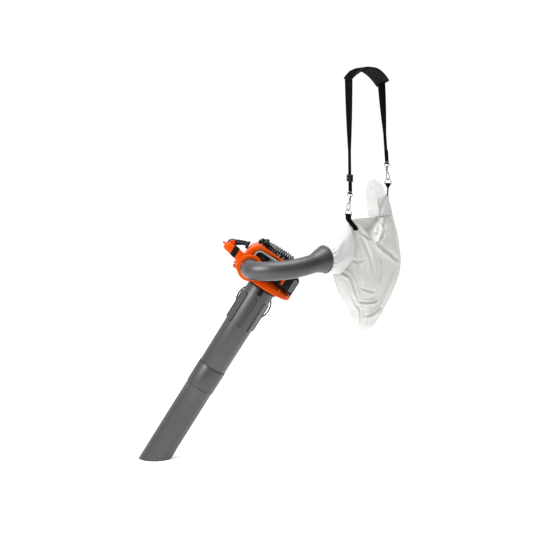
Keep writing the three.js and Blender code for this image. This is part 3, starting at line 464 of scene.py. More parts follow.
# ---- Camera, light and floor ----
def studio():
    scene = bpy.context.scene
    data = bpy.data.cameras.new("camera")
    camera = bpy.data.objects.new("camera", data)
    scene.collection.objects.link(camera)
    scene.camera = camera
    target = ground(469.4, 0, 812.5)
    elevation = radians(8)
    camera.location = target + Vector((0, -cos(elevation), sin(elevation))) * 5
    camera.rotation_euler = (pi / 2 - elevation, 0, 0)
    data.lens = 82
    data.sensor_width = 36
    data.clip_end = 100

    # A white surround, dimmer towards the camera's side and to the object's right.
    world = bpy.data.worlds.new("studio")
    scene.world = world
    world.use_nodes = True
    background = world.node_tree.nodes["Background"]
    background.inputs["Color"].default_value = (1, 1, 1, 1)
    nodes = Nodes(world.node_tree)
    split = nodes.add("SeparateXYZ")
    nodes.link(nodes.add("TexCoord").outputs["Generated"], split.inputs["Vector"])
    behind = nodes.range(split.outputs["Y"], 0.34, 1.05, -0.15, 0.6, "SMOOTHSTEP")
    beside = nodes.range(split.outputs["X"], 1.0, 0.3, 0.28, 0.9, "SMOOTHSTEP")
    nodes.link(nodes.math("MULTIPLY", behind, beside), background.inputs["Strength"])
    scene.view_settings.view_transform = "Standard"

    def area(name, place, aim, size, power):
        light = bpy.data.lights.new(name, "AREA")
        light.shape = "RECTANGLE"
        light.size, light.size_y = size
        light.energy = power
        lamp = bpy.data.objects.new(name, light)
        scene.collection.objects.link(lamp)
        lamp.location = place
        lamp.rotation_euler = (aim - place).to_track_quat("-Z", "Y").to_euler()

    middle = ground(450, 0, 850)
    area("key", middle + Vector((-2.5, -2.2, 2.4)), middle, (1.0, 2.4), 240)
    area("top", middle + Vector((0.3, 0.2, 3.2)), middle, (2.0, 2.0), 110)

    mesh = bpy.data.meshes.new("floor")
    bm = bmesh.new()
    bmesh.ops.create_grid(bm, x_segments=8, y_segments=8, size=15)
    bm.to_mesh(mesh)
    bm.free()
    floor = bpy.data.objects.new("floor", mesh)
    floor.location.z = ground(0, 0, 0).z
    scene.collection.objects.link(floor)
    Surface("floor").give(Base_Color=(0.97, 0.97, 0.97, 1), Emission_Color=(1, 1, 1, 1), Emission_Strength=0.5,
            Roughness=0.6, Specular_IOR_Level=0.2)
    mesh.materials.append(MAT["floor"])


# ---- CAD nodes that stay: materials, smooth shading and softened edges ----
# Nodes whose colour isn't their slot's own.
LOOKS = dict(starter_pulley="light_grey_plastic", inlet_door="black_plastic", stop_switch="orange_plastic",
        muffler_guard="black_plastic")
SHARP = radians(38)


def dress_cad():
    slots = {row["node"]: row["material_slot"] for row in frame["record"]["subparts"]}
    for name, node in NODES.items():
        mesh = node.data
        mesh.materials.clear()
        mesh.materials.append(MAT[LOOKS.get(name, slots[name])])
        mesh.polygons.foreach_set("use_smooth", [True] * len(mesh.polygons))
        mesh.set_sharp_from_angle(angle=SHARP)
        weld = node.modifiers.new("weld", "WELD")
        weld.merge_threshold = 0.00005
        bevel = node.modifiers.new("soft_edges", "BEVEL")
        bevel.width = 0.0009
        bevel.segments = 2
        bevel.limit_method = "ANGLE"
        bevel.angle_limit = SHARP


# ---- Intake tubes ----
def intake_tubes():
    r = TUBE_R
    joint, end = COUPLING_Z, COUPLING_Z - 60

    def shell(profile):
        """A wall through (radius, height) points; where no height is given it ends on the slanted mouth."""
        rings = []
        for radius, z in profile:
            points = [(radius * c, radius * s) for c, s in circle(96)]
            rings.append([machine(x, y, -TUBE_RUN + x * tan(TILT) if z is None else z) for x, y in points])
        return Builder().loft(rings, caps=False)

    upper = shell([
        (r - 3.6, -2), (r - 1, -2), (r - 0.3, -2.6), (r, -4), (r - 0.5, -200), (r - 1, joint + 2),
        (r - 1.4, joint + 0.8), (r - 2.4, joint - 0.4), (r - 4.6, joint - 1.5), (r - 4.6, end), (r - 7, end),
        (r - 7, joint), (r - 3.6, -2),
    ])
    rib_width, rib_rise = 3.4, 6.5
    for c, s in circle(8):
        out, across = Vector((c, s, 0)), Vector((-s, c, 0))
        rings = []
        for k in range(41):
            fade = sqrt(max(0.0, 1 - max(0, abs(k - 20) - 18.5) ** 2 / 1.5 ** 2))
            ring = []
            for x, y in circle(16):
                w = rib_width * power(x, 0.7) * (0.35 + 0.65 * fade)
                h = r - 1.5 + rib_rise * fade * max(0, y) ** 0.6 - 0.8 * max(0, -y)
                p = out * h + across * w
                ring.append(machine(p.x, p.y, lerp(-190, -58, k / 40)))
            rings.append(ring)
        upper.loft(rings)
    upper.piece("upper_tube_skin", "tube_plastic", replaces="upper_vacuum_tube")

    lower = shell([
        (r - 1.2, joint - 1.8), (r - 0.3, joint - 1.0), (r + 0.7, joint - 1.3), (r + 1.2, joint - 2.6),
        (r + 1.2, -496), (r + 0.9, -498.4), (r - 0.6, -500.2), (r - 1.2, -501.5), (r - 1.2, -640),
        (r - 1.2, None), (r - 4.2, None), (r - 4.2, -480), (r - 1.2, -470), (r - 1.2, joint - 1.8),
    ])
    lower.piece("lower_tube_skin", "tube_plastic", replaces="lower_vacuum_tube")

    # Painted shade: black bars along the sides and ends of each rib, and black rings in the two seams, darken the
    # tube where the raised ribs and the seam grooves would cast shade.
    painted_shade_lines = Builder()
    for c, s in circle(8):
        out, across = LEAN @ Vector((c, s, 0)), LEAN @ Vector((-s, c, 0))
        middle = machine((r - 0.2) * c, (r - 0.2) * s, -124)
        for move, size in ((across * 0.0045, (0.0016, 0.0016, 0.134)), (LEAN_Z * 0.0678, (0.0102, 0.0016, 0.0016))):
            for side in (-1, 1):
                painted_shade_lines.bar(middle + move * side, across, out, LEAN_Z, size, 0.0005, 2)
    for z in (joint - 0.6, -500.8):
        painted_shade_lines.torus(machine(0, 0, z), LEAN_Z, r - 0.8, 1.2, 96, 8)
    painted_shade_lines.piece("tube_rib_painted_shade", "black_plastic")


def door_rim():
    """The open grille door's thicker outer rim."""
    node = NODES["inlet_door"]
    depths = [(node.matrix_world @ Vector(c)).y for c in node.bound_box]
    centre = machine(DOOR["x"], 0, DOOR["z"])
    centre.y = (min(depths) + max(depths)) / 2
    rim = Builder().torus(centre, Y_AXIS, DOOR["r"], 3, 120, 14)
    rim.piece("inlet_door_rim", "black_plastic", body="inlet_grille")


# ---- Elbow tube ----
ELBOW_R, FLARE_R = 38, 52
_mouth = LEAN @ Vector((DUCT["x"], 0, DUCT["z"] + TUBE_RUN))
ELBOW_POINTS = [
    (_mouth.x, DUCT["end"] + 26, _mouth.z), (_mouth.x, -120, _mouth.z), (_mouth.x, -138, _mouth.z),
    (_mouth.x, -156, _mouth.z), (_mouth.x + 20, -198, _mouth.z), (482, -224, 825), (549, -217, 829),
    (619, -187, 839), (672, -144, 850), tuple(ELBOW_END),
]


def elbow():
    path = curve([ground(*p) for p in ELBOW_POINTS], 110)

    def outer(t):
        flare = 0 if t < 0.82 else (FLARE_R - ELBOW_R) * smooth(0.82, 0.98, t)
        return (ELBOW_R + flare) * MM

    frames = transport(path)
    last = len(path) - 1
    rings = []
    for wall, order in ((0, range(last + 1)), (2.5 * MM, reversed(range(last + 1)))):
        for i in order:
            _, u, v = frames[i]
            radius = outer(i / last) - wall
            if wall == 0 and i == last:
                radius -= 0.4 * MM
            rings.append(disc(path[i], u, v, radius, 64))
    b = Builder().loft(rings + rings[:1], caps=False)
    ahead = frames[-1][0]
    b.torus(path[-1] - ahead * 0.0015, ahead, FLARE_R + 0.3, 1.6, 96, 10)
    b.piece("elbow_skin", "tube_plastic", replaces="elbow_tube")


# ---- Fan housing: smooth scroll, rim with bosses, and the duct ----
SCROLL = dict(start=106, growth=34)
TONGUE = radians(232)
BOSSES = (0.035, 0.2, 0.36, 0.52, 0.68, 0.84)


def scroll_radius(share):
    turned_by = min(1, share * 360 / 308)
    tail = max(0.0, (share - 308 / 360) / (52 / 360))
    grown = 1 - smooth(0, 1, tail) if tail > 0 else turned_by
    return SCROLL["start"] + SCROLL["growth"] * grown


def scroll_ring(z, inset, scale, steps=120):
    ring = []
    for i in range(steps):
        r = (scroll_radius(i / steps) - inset) * scale
        a = TONGUE + TAU * i / steps
        ring.append(machine(r * cos(a), r * sin(a), z))
    return ring


def boss_place(share, z):
    a, r = TONGUE + TAU * share, scroll_radius(share) - 9
    return machine(r * cos(a), r * sin(a), z)


def screws(name, places, profile):
    b = Builder()
    for place in places:
        b.turned(place, LEAN_Z, profile, 20)
    b.piece(name, "steel")


def fan_housing():
    # The halves' walls: height, how far in from the scroll's outline, and how much that is scaled down.
    low = [(0.2, 52), (0, 6), (0.6, 3.2), (2, 1.2), (4, 0.2), (9, 0), (13.0, 0), (13.6, 0.5), (13.6, 5), (3, 8),
           (3, 52), (0.2, 52)]
    bottom = Builder().loft([scroll_ring(z, inset, 1) for z, inset in low], caps=False)
    bottom.piece("fan_housing_lower_skin", "orange_plastic", replaces="fan_housing_inlet_half")
    high = [(14.4, 5, 1), (14.4, 0.5, 1), (15, 0, 1), (19, 0, 1), (20.6, 0.8, 1), (22, 3, 1), (24, 7, 1),
            (27.5, 8, 0.9), (34, 8, 0.72), (42, 8, 0.5), (45, 8, 0.42), (46, 8, 0.36), (46, 8, 0.13),
            (42, 8, 0.13), (42, 8, 0.42), (24, 9, 0.84), (17, 6, 1), (14.4, 5, 1)]
    top = Builder().loft([scroll_ring(*row) for row in high], caps=False)
    for share in BOSSES:
        top.turned(boss_place(share, 20), LEAN_Z, [(0.6, 0), (6.2, 0), (6.2, 7.5), (5.5, 8.5),
                (0.6, 8.5)], 24)

    # The duct: y, how far its middle moves in x and z, and how much wider and taller it gets.
    sections = [(DUCT["end"], 0, 0, 0, 0), (-80, 0, 0, 0, 0), (-58, -1, -11, -1, -11), (-36, -3, -22, -2, -22),
            (16, -6, -24, -6, -24)]

    def section(y, inset):
        a, b = next((a, b) for a, b in zip(sections, sections[1:]) if y <= b[0])
        t = smooth(a[0], b[0], y)
        dx, dz, dw, dh = (lerp(p, q, t) for p, q in zip(a[1:], b[1:]))
        return [machine(DUCT["x"] + dx + (DUCT["r"] + dw - inset) * c, y,
                DUCT["z"] + dz + (DUCT["r"] + dh - inset) * s) for c, s in circle(56, -1)]

    rows = [DUCT["end"] + (16 - DUCT["end"]) * k / 36 for k in range(37)]
    rings = [section(y, 0) for y in rows] + [section(y, 5) for y in reversed(rows)]
    top.loft(rings + rings[:1], caps=False)
    top.piece("fan_housing_upper_skin", "orange_plastic", replaces="fan_housing_engine_half")
    screws("fan_housing_screws", [boss_place(share, 28.2) for share in BOSSES],
           [(0.4, 0), (4.2, 0), (4.4, 1.2), (3.6, 2.6), (2.2, 3), (2, 1.2),
            (0.4, 1.2)])


# ---- Recoil starter: finned wall, ribbed lid ----
def starter():
    x0, r, low, top = STARTER["x"], STARTER["r"], STARTER["floor"], STARTER["top"]

    def chord(radius, x):
        """Half the width, at x, of a circle round the starter's axis."""
        return sqrt(max(1.0, radius ** 2 - (x - x0) ** 2))

    b = Builder().turned(machine(x0, 0, low), LEAN_Z, [
        (56.5, 0), (r, 0), (r, 3.5), (60.5, 4.5), (56.5, 4.5)], 96)
    edges = [(-75.0, -67.5)] + [(10 * k - 2.5, 10 * k + 2.5) for k in range(-6, 4)] + [(37.5, 47.2)]
    for x_low, x_high in edges:
        rings = []
        for x in (x_low, x_low + 0.5, x_high - 0.5, x_high):
            trim = 0.5 if x in (x_low, x_high) else 0
            out = chord(r, x) - trim
            inner = min(chord(58.8, x), out - 1.5)
            outline = [(-out, low + 4), (-out, top - 2), (-out + 2, top - trim), (out - 2, top - trim),
                    (out, top - 2), (out, low + 4), (inner, low + 4), (inner, top - 5), (-inner, top - 5),
                    (-inner, low + 4)]
            rings.append([machine(x, y, z) for y, z in outline])
        b.loft(rings)
    b.turned(machine(0, 0, top - 6), LEAN_Z, [(0.5, 0), (5, 0), (5, 5.8), (4.4, 6.4),
            (0.5, 6.4)], 32)
    b.block(x0 - r - 5, ROPE_Y, top - 12, (0.026, 0.022, 0.02), 0.004, 4)
    b.torus(machine(x0 - r - 18.4, ROPE_Y, ROPE_Z), LEAN_X, 4.2, 1.1, 32, 8)
    b.piece("starter_skin", "black_plastic", replaces="starter_housing")

    # Painted highlight: a pale disc just under the slats, so the gaps between the black slats show bright as a lit
    # top face would.
    highlight_disc = Builder()
    highlight_disc.turned(machine(x0, 0, 159.2), LEAN_Z, [(22, 0), (57.2, 0), (57.2, 1.2), (22, 1.2)], 96)
    highlight_disc.piece("starter_painted_highlight", "light_grey_plastic", look="painted_highlight_plastic")
    screws("starter_screws", [machine(x, y, top - 0.6) for x, y in ((-50, 38), (-50, -38), (20, 48), (20, -48))],
           [(0.4, 0), (4, 0), (4.2, 1), (3.4, 2.2), (2, 2.6), (1.8, 1),
            (0.4, 1)])

    place, length = machine(x0 - r - 32, ROPE_Y, ROPE_Z), 0.040
    rings = []
    for k in range(25):
        t = k / 24
        scale = 0.35 + 0.65 * (sin(pi * t) ** 0.35 if 0 < t < 1 else 0.0)
        rings.append([place + LEAN @ Vector((power(c, 0.6) * 0.008 * scale, 0, power(s, 0.6) * 0.0095 * scale))
                + Y_AXIS * (t - 0.5) * length for c, s in circle(24)])
    Builder().loft(rings).piece("starter_grip", "black_plastic", body="starter_pull", replaces="starter_handle")

    start, end = (machine(x0 - r - away, ROPE_Y, ROPE_Z) for away in (8, 26))
    rope = Builder().sweep([start.lerp(end, k / 60) for k in range(61)], 0.0021, 12)
    line = rope.piece("pull_rope", "webbing", body=None, replaces="starter_rope")
    start.lerp(end, 0.2)
    start.lerp(end, 0.85)
    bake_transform(line)


# ---- Muffler guard: a light rim round a dark louvred field ----
def muffler_guard():
    corner = 20
    arc = [pi / 2 * k / 6 for k in range(7)]
    path = [(-103, 88), (-104, 100)]
    path += [(-84 - corner * cos(a), 108 + corner * sin(a)) for a in arc]
    path += [(-60, 128), (-20, 128)]
    path += [(26 + corner * sin(a), 108 + corner * cos(a)) for a in arc]
    path += [(46, 96), (46, 76)]
    points = curve([machine(x + (3 if x < 0 else -3) * (abs(x) > 80 or x > 30), -88.6, z - 3) for x, z in path], 120)
    rings = []
    for i, p in enumerate(points):
        tangent = (points[min(i + 1, 120)] - points[max(i - 1, 0)]).normalized()
        side = tangent.cross(Y_AXIS).normalized()
        rings.append([p + side * 0.0036 * power(c, 0.6) - Y_AXIS * 0.0026 * power(s, 0.7) for c, s in circle(16)])
    rim = Builder().loft(rings)
    slope = Matrix.Rotation(radians(14), 3, "Y")
    across, upright = LEAN @ (slope @ X_AXIS), LEAN @ (slope @ UP)
    for k in range(9):
        rim.bar(machine(-38 + 8.4 * k, -88.8, 114 - 0.4 * k), across, Y_AXIS, upright, (0.0030, 0.003, 0.012),
                0.0009, 2)
    rim.piece("guard_rim", "light_grey_plastic")
    field = Builder()
    for k in range(5):
        field.block(4, -88.9, 102 - 7 * k, (0.074, 0.0026, 0.0034), 0.0009)
    field.piece("guard_louvres", "dark_grey_plastic")


def tank_ribs():
    """Ribs on the fuel tank's corner, and the ribbed bracket between tank and elbow."""
    b = Builder()
    for k in range(4):
        b.block(92 + 5 * k, -70.3, 70, (0.0018, 0.003, 0.056), 0.0008)
    b.piece("fuel_tank_ribs", "light_grey_plastic")
    bracket = Builder().block(49, -62, 54, (0.034, 0.003, 0.046), 0.0012)
    for k in range(3):
        bracket.block(49, -64, 40 + 13 * k, (0.030, 0.003, 0.003), 0.001)
    bracket.piece("fuel_tank_bracket", "black_plastic")


def cruise_knob():
    """Round thumb knob on the cruise lever's hub, with grip notches round its rim."""
    x, y, z = -204, -62, 93
    b = Builder().turned(machine(x, y, z), Y_AXIS, [
        (0.4, -8), (7.8, -8), (9.8, -6), (10.2, 0), (9.8, 6), (7.8, 8),
        (0.4, 8)], 40)
    for c, s in circle(12):
        b.block(x + 10.2 * c, y, z + 10.2 * s, (0.0018, 0.013, 0.0018), 0.0006)
    b.block(x + 2, y, z - 11, (0.009, 0.009, 0.016), 0.002, 3)
    b.piece("cruise_knob", "red_plastic", body="cruise", replaces="cruise_lever")


# ---- Hooks, rings and swivel eyes ----
def hook_frame(hook, turn=0.0):
    angle = BAG_TURN + turn + (pi if hook["side"] < 0 else 0)
    return Matrix.Rotation(angle, 3, "Z")


def at_hook(hook, x, y, z, turn=0.0):
    base = bag_point(hook["s"], 0, hook["hook_top"])
    return base + hook_frame(hook, turn) @ Vector((x, y, z)) * MM


def wire_loop(hook, corners, steps, x, low, middle, turn, radius):
    """A wire bent into a closed outline across the hook; corners are (y, height over low) in mm."""
    path = []
    for (y, z), (y2, z2) in zip(corners, corners[1:] + corners[:1]):
        path += [at_hook(hook, x, lerp(y, y2, i / steps), low + lerp(z, z2, i / steps), turn) for i in range(steps)]
    normal = hook_frame(hook, turn) @ X_AXIS
    middle = at_hook(hook, x, 0, low + middle, turn)
    rings = []
    for p in path + path[:1]:
        out = p - middle
        out = (out - normal * out.dot(normal)).normalized()
        rings.append(disc(p, out, normal, radius, 12))
    return Builder().loft(rings, caps=False)


def hardware(hook):
    name = hook["name"]
    path = [(0, 0, -20), (0, 0, -28), (-0.4, 0, -36), (-1, 0, -44), (0, 0, -52), (3.4, 0, -58.8), (9, 0, -61.5),
            (14.6, 0, -58.8), (18.2, 0, -52), (19.2, 0, -46), (20.4, 0, -42.6), (22.6, 0, -41.2)]
    points = curve([at_hook(hook, *p) for p in path], 60)
    body = Builder().sweep(points, lambda t: (1.9 - 0.7 * smooth(0.86, 1, t)) * MM, 16)
    body.turned(at_hook(hook, 0, 0, -24), UP, [(0.4, 0), (3, 0), (4.5, 1.5), (4.5, 10.5),
            (3, 12), (0.4, 12)], 24)
    body.piece(name + "_hook_skin", "steel", replaces=name + "_hook")

    eye = wire_loop(hook, [(-21.5, -1.5), (-23.2, 0.5), (-23.2, 7.5), (-21.5, 9.5), (21.5, 9.5), (23.2, 7.5),
            (23.2, 0.5), (21.5, -1.5)], 6, 0, 0, 4, TWIST, 0.0015)
    eye.turned(at_hook(hook, 0, 0, -11, TWIST), UP, [(0.4, 0), (4.8, 0), (6, 1.2), (6, 6),
            (3.5, 9.2), (0.4, 9.6)], 24)
    eye.piece(name + "_eye_skin", "steel", replaces=name + "_swivel_eye")

    ring = wire_loop(hook, [(-17.5, 0), (17.5, 0), (17.6, 6), (16, 12), (12.5, 18), (7, 22.2), (0, 24), (-7, 22.2),
            (-12.5, 18), (-16, 12), (-17.6, 6)], 8, RING_OFFSET, RAIL, 10, 0.0, 0.0016)
    ring.piece(name + "_ring_skin", "steel", replaces=name + "_ring")


# ---- Webbing ----
def ribbon(builder, stations, width, thick, edge=0.35):
    """A flat woven strip through (centre, side, face) stations; side is its width's direction."""
    rings, flat = [], []
    half, t = width / 2, thick / 2
    for (centre, side, face), run in zip(stations, runs([row[0] for row in stations])):
        ring = []
        under = [(-1, -edge), (-0.985, -0.8), (-0.95, -1), (-0.5, -1), (0, -1), (0.5, -1), (0.95, -1),
                (0.985, -0.8), (1, -edge)]
        outline = under + [(-a, -b) for a, b in under]
        for a, b in outline:
            ring.append(centre + side * half * a + face * t * b)
            flat.append((half * a, run, 0))
        rings.append(ring)
    return builder.loft(rings, flat=flat)


def leg_centre(hook, z):
    t = (z - hook["hook_top"]) / (hook["top"] - hook["hook_top"])
    return lerp(hook["s"], hook["top_s"], t)


def turned_directions(turn):
    spin = Matrix.Rotation(turn, 3, "Z")
    return spin @ OUTWARD, spin @ ALONG


def strap_leg(hook):
    name = hook["name"]
    foot = hook["hook_top"] + EYE_BAR
    stations = []
    for k in range(71):
        t = k / 70
        z = lerp(foot + 6, hook["top"] + 8, t)
        side, face = turned_directions(FOOT_TWIST * min(1, (1 - t) / 0.64) ** 1.4)
        stations.append((bag_point(leg_centre(hook, min(z, hook["top"])), 0, z), side, face))
    b = ribbon(Builder(), stations, 0.040, 0.0026)

    # The end goes round the eye's bar and back up behind itself.
    side, face = turned_directions(FOOT_TWIST)
    fold, tail = [], []
    for k in range(25):
        a = radians(lerp(-80, 260, k / 24)) + pi
        out = face * cos(a) + UP * sin(a)
        fold.append((bag_point(hook["s"], 0, foot) + out * 0.0036, side, out))
    for k in range(9):
        z = foot + 5 + 6.4 * k
        tail.append((bag_point(leg_centre(hook, z), 0, z) + face * 0.0031, side, face))
    ribbon(b, fold, 0.0385, 0.0016)
    ribbon(b, tail, 0.0385, 0.0022)
    b.piece("strap_" + name + "_webbing", "webbing", replaces="strap_" + name + "_leg")
    stitches(name + "_strap_stitches", tail[5][0] + face * 0.0013, side, UP, 0.03, 0.016, face)


def stitches(name, centre, across, along, width, length, face):
    """A sewn box with a cross in it, in thread that stands a little proud."""
    b = Builder()
    w, h = width / 2, length / 2
    lines = [(-w, -h, w, -h), (w, -h, w, h), (w, h, -w, h), (-w, h, -w, -h), (-w, -h, w, h), (-w, h, w, -h)]
    for x0, y0, x1, y1 in lines:
        count = max(3, int(hypot(x1 - x0, y1 - y0) / 0.0028))
        for i in range(count):
            p, q = (centre + across * lerp(x0, x1, t) + along * lerp(y0, y1, t)
                    for t in ((i + 0.12) / count, (i + 0.88) / count))
            b.sweep([p, (p + q) / 2 + face * 0.0004, q], 0.00035, 6)
    b.piece(name, "webbing")


def pad_at(t):
    before = (PAD["crown"] - PAD["foot0"]) * max(0.0, 1 - t / PAD["crown_at"]) ** 2.2
    after = (PAD["crown"] - PAD["foot1"]) * max(0.0, (t - PAD["crown_at"]) / (1 - PAD["crown_at"])) ** 2.0
    return lerp(PAD["s0"], PAD["s1"], t), PAD["crown"] - before - after


def pad_across(t):
    """The pad's crossways direction: it rolls over towards its rear end, as it would on a shoulder."""
    return (OUTWARD + UP * 0.38 * smooth(0.1, 0.95, t)).normalized()


def pad_frame(t):
    """A point on the pad's middle line, and the direction that faces up from it."""
    s, z = pad_at(t)
    (s0, z0), (s1, z1) = pad_at(max(0, t - 0.01)), pad_at(min(1, t + 0.01))
    length = hypot(s1 - s0, z1 - z0)
    return bag_point(s, 0, z), ALONG * -((z1 - z0) / length) + UP * ((s1 - s0) / length)


def pad_half(t, ends=1.0):
    """Half the pad's width: it narrows towards its front end."""
    return PAD["width"] / 2 * ends * (0.66 + 0.34 * smooth(0, 0.3, t))


def shoulder_pad():
    steps = 120
    rings, flat = [], []
    line = [pad_frame(k / steps) for k in range(steps + 1)]
    for k, ((centre, normal), run) in enumerate(zip(line, runs([p for p, _ in line]))):
        t = k / steps
        end = min(t, 1 - t) * steps / 3
        full = sqrt(max(0.0, 1 - (1 - min(1, end)) ** 2)) * 0.75 + 0.25
        width = pad_half(t, 0.95 + 0.05 * smooth(0, 0.06, 1 - t))
        ring = []
        for c, s in circle(48):
            x, y = power(c, 0.45), power(s, 0.8)
            puff = 1 - 0.42 * exp(-((abs(x) - 0.9) / 0.05) ** 2)
            channel = 1 - 0.30 * exp(-(((t * 9) % 1 - 0.5) / 0.09) ** 2) * (1 if y < 0 else 0.25)
            h = PAD["thick"] / 2 * y * full * puff * channel
            wrinkle = 0.35 * ripple(x * 2.2, t * 22, 3 if y > 0 else 7)
            ring.append(centre + pad_across(t) * width * x * MM + normal * (h + wrinkle * abs(y) * full) * MM)
            flat.append((width * x * MM, run, 0))
        rings.append(ring)
    pad = Builder().loft(rings, flat=flat).piece("shoulder_pad_quilted", "pad_fabric", replaces="shoulder_pad")

    binding = Builder()
    for side in (-1, 1):
        path = []
        for k in range(81):
            t = lerp(0.01, 0.99, k / 80)
            path.append(pad_frame(t)[0] + pad_across(k / 80) * side * (pad_half(t) - 0.6) * MM)
        binding.sweep(path, 0.0021, 10)
    binding.piece("shoulder_pad_binding", "webbing")

    stations = []
    for t in (k / 60 for k in range(61)):
        centre, normal = pad_frame(t)
        stations.append((centre + normal * 0.0058, pad_across(t), normal))
    ribbon(Builder(), stations, 0.038, 0.0022).piece("strap_over_pad", "webbing")


def strap_adjuster():
    """A ladder slide: two side rails and three bars, the webbing threaded between them."""
    z = 1177
    side, face = turned_directions(FOOT_TWIST)
    centre = bag_point(leg_centre(FRONT, z), 0, z)
    b = Builder()
    for edge in (-1, 1):
        b.bar(centre + side * edge * 0.0232, side, face, UP, (0.0044, 0.0145, 0.030), 0.0015, 3)
    for height, depth in ((-0.012, 0.0061), (0.0, 0.0068), (0.012, 0.0061)):
        for layer in (-1, 1):
            b.bar(centre + UP * height + face * layer * depth, side, face, UP, (0.048, 0.0026, 0.0052), 0.001, 3)
    b.piece("adjuster_slide", "black_plastic", body="adjuster", replaces="strap_adjuster")


def bag_loops():
    for hook in (FRONT, REAR):
        name = hook["name"]
        s = hook["s"] + RING_OFFSET * hook["side"]
        rail = hook["hook_top"] + RAIL
        b = Builder()
        for layer in (-1, 1):
            path = []
            for k in range(31):
                t = k / 30
                z = lerp(hook["loop_foot"] - 4, rail + 1, t)
                lean = hook["lean"] * 0.45 * (1 - smooth(0, 0.85, t))
                gap = 2.0 + 1.6 * smooth(0.6, 1, t)
                side, face = turned_directions(radians(hook["loop_turn"]) * (1 - smooth(*hook["turn_over"], t)))
                proud = hook["proud"] * (1 - smooth(0, 0.8, t))
                path.append((bag_point(s + lean, proud, z) + face * layer * gap * MM, side, face))
            ribbon(b, path, 0.024, 0.0022)
        bend = []
        for k in range(17):
            a = pi * k / 16
            out = ALONG * cos(a) + UP * sin(a)
            bend.append((bag_point(s, 0, rail + 1) + out * 0.0036, OUTWARD, out))
        ribbon(b, bend, 0.024, 0.0022)
        b.piece(name + "_webbing_loop", "webbing", replaces=name + "_bag_loop")
        side, face = turned_directions(radians(hook["loop_turn"]))
        lower = bag_point(s + hook["lean"] * 0.6, hook["proud"] * 0.95, hook["loop_foot"] + 8)
        lower += face * 0.0033 * hook["side"]
        stitches(name + "_loop_stitches", lower, side, UP, 0.016, 0.012, face * hook["side"])


# ---- Bag ----
# The bag's level sections: height, the two ends of its outline along s, and half its thickness.
BAG_ROWS = [
    (521, 240, 262, 6), (527, 230, 272, 12), (540, 214, 294, 22), (560, 194, 322, 34), (600, 164, 358, 48),
    (641, 138, 394, 56), (673, 112, 420, 61), (704, 90, 443, 65), (736, 70, 463, 67), (760, 58, 474, 68),
    (784, 54, 480, 68), (810, 62, 480, 68), (836, 76, 477, 66), (880, 95, 468, 62), (914, 108, 459, 53),
    (950, 122, 448, 41), (980, 136, 438, 23), (997, 146, 431, 16.5), (1003, 156, 428, 15), (1006, 190, 427, 14.8),
    (1007, 300, 426, 14.7), (1010, 336, 424, 14.5), (1040, 328, 415, 11), (1064, 322, 406, 10), (1079, 318, 400, 8),
    (1088, 340, 397, 6.5), (1097, 378, 394, 4),
]
# Folds on the front: points as (along the bag, height), then how deep and how wide.
FOLDS = [
    (((297, 912), (345, 880), (400, 850), (438, 826)), 13, 13),
    (((310, 900), (350, 930), (366, 985), (350, 1030)), 5, 9),
    (((330, 868), (336, 800), (322, 740)), 5, 9),
    (((250, 560), (262, 600), (300, 620), (340, 634)), 7, 8),
    (((150, 700), (176, 668), (200, 640), (214, 600)), 5, 8),
    (((184, 985), (215, 950), (262, 925), (297, 912)), 7, 9),
    (((297, 912), (325, 950), (340, 1000), (328, 1055)), 8, 9),
    (((390, 1088), (360, 1072), (330, 1052)), 6, 7),
    (((193, 672), (240, 663), (292, 662), (316, 668)), 7, 7),
    (((196, 668), (206, 628), (214, 580), (222, 540)), 8, 7),
    (((78, 805), (118, 792), (143, 781), (158, 752), (172, 715), (192, 672)), 8, 10),
    (((214, 728), (258, 712), (300, 705)), 5, 8),
    (((236, 604), (272, 606), (316, 618), (338, 634)), 6, 9),
    (((176, 972), (160, 930), (132, 860), (122, 815)), 6, 10),
    (((180, 972), (184, 910), (186, 850), (200, 800)), 4, 12),
    (((186, 972), (230, 910), (262, 850), (280, 780)), 5, 12),
    (((392, 1080), (412, 1000), (424, 930), (430, 850)), 5, 9),
    (((340, 990), (372, 940), (392, 890)), 5, 10),
    (((420, 820), (396, 760), (352, 690), (330, 640)), 4, 14),
    (((150, 850), (190, 836), (236, 846)), 4, 10),
]
BACK_FOLDS = [
    (((176, 975), (210, 900), (225, 800), (236, 700)), 7, 12),
    (((392, 1080), (380, 980), (340, 880), (300, 780)), 8, 12),
    (((120, 840), (200, 800), (300, 790)), 6, 12),
    (((420, 860), (360, 780), (300, 700)), 6, 13),
    (((150, 700), (220, 660), (320, 650)), 6, 10),
    (((240, 560), (236, 620), (262, 700)), 6, 9),
    (((170, 940), (260, 925), (360, 950)), 7, 12),
]


def row_at(rows, z):
    """A table's values at height z, in between its rows."""
    z = min(max(z, rows[0][0]), rows[-1][0])
    a, b = next((a, b) for a, b in zip(rows, rows[1:]) if z <= b[0])
    t = (z - a[0]) / (b[0] - a[0])
    return [lerp(p, q, t) for p, q in zip(a[1:], b[1:])]


def fold_depth(folds, u, v):
    """How far the cloth sinks at (u, v): soft-sided, deepest on the fold's line, rolled up beside it."""
    total = 0.0
    for points, depth, width in folds:
        best, where = 1e9, 0.0
        run = len(points) - 1
        for k in range(run):
            (x0, y0), (x1, y1) = points[k], points[k + 1]
            dx, dy = x1 - x0, y1 - y0
            t = min(1, max(0, ((u - x0) * dx + (v - y0) * dy) / (dx * dx + dy * dy)))
            d = hypot(u - x0 - dx * t, v - y0 - dy * t)
            if d < best:
                best, where = d, (k + t) / run
        if best > 4 * width:
            continue
        taper = min(1.0, 3.2 * where + 0.25, 3.2 * (1 - where) + 0.25)
        x = best / (0.78 * width)
        total += depth * taper * (exp(-x * x * 1.6) - 0.45 * exp(-(x - 1.5) ** 2 * 1.8))
    return total


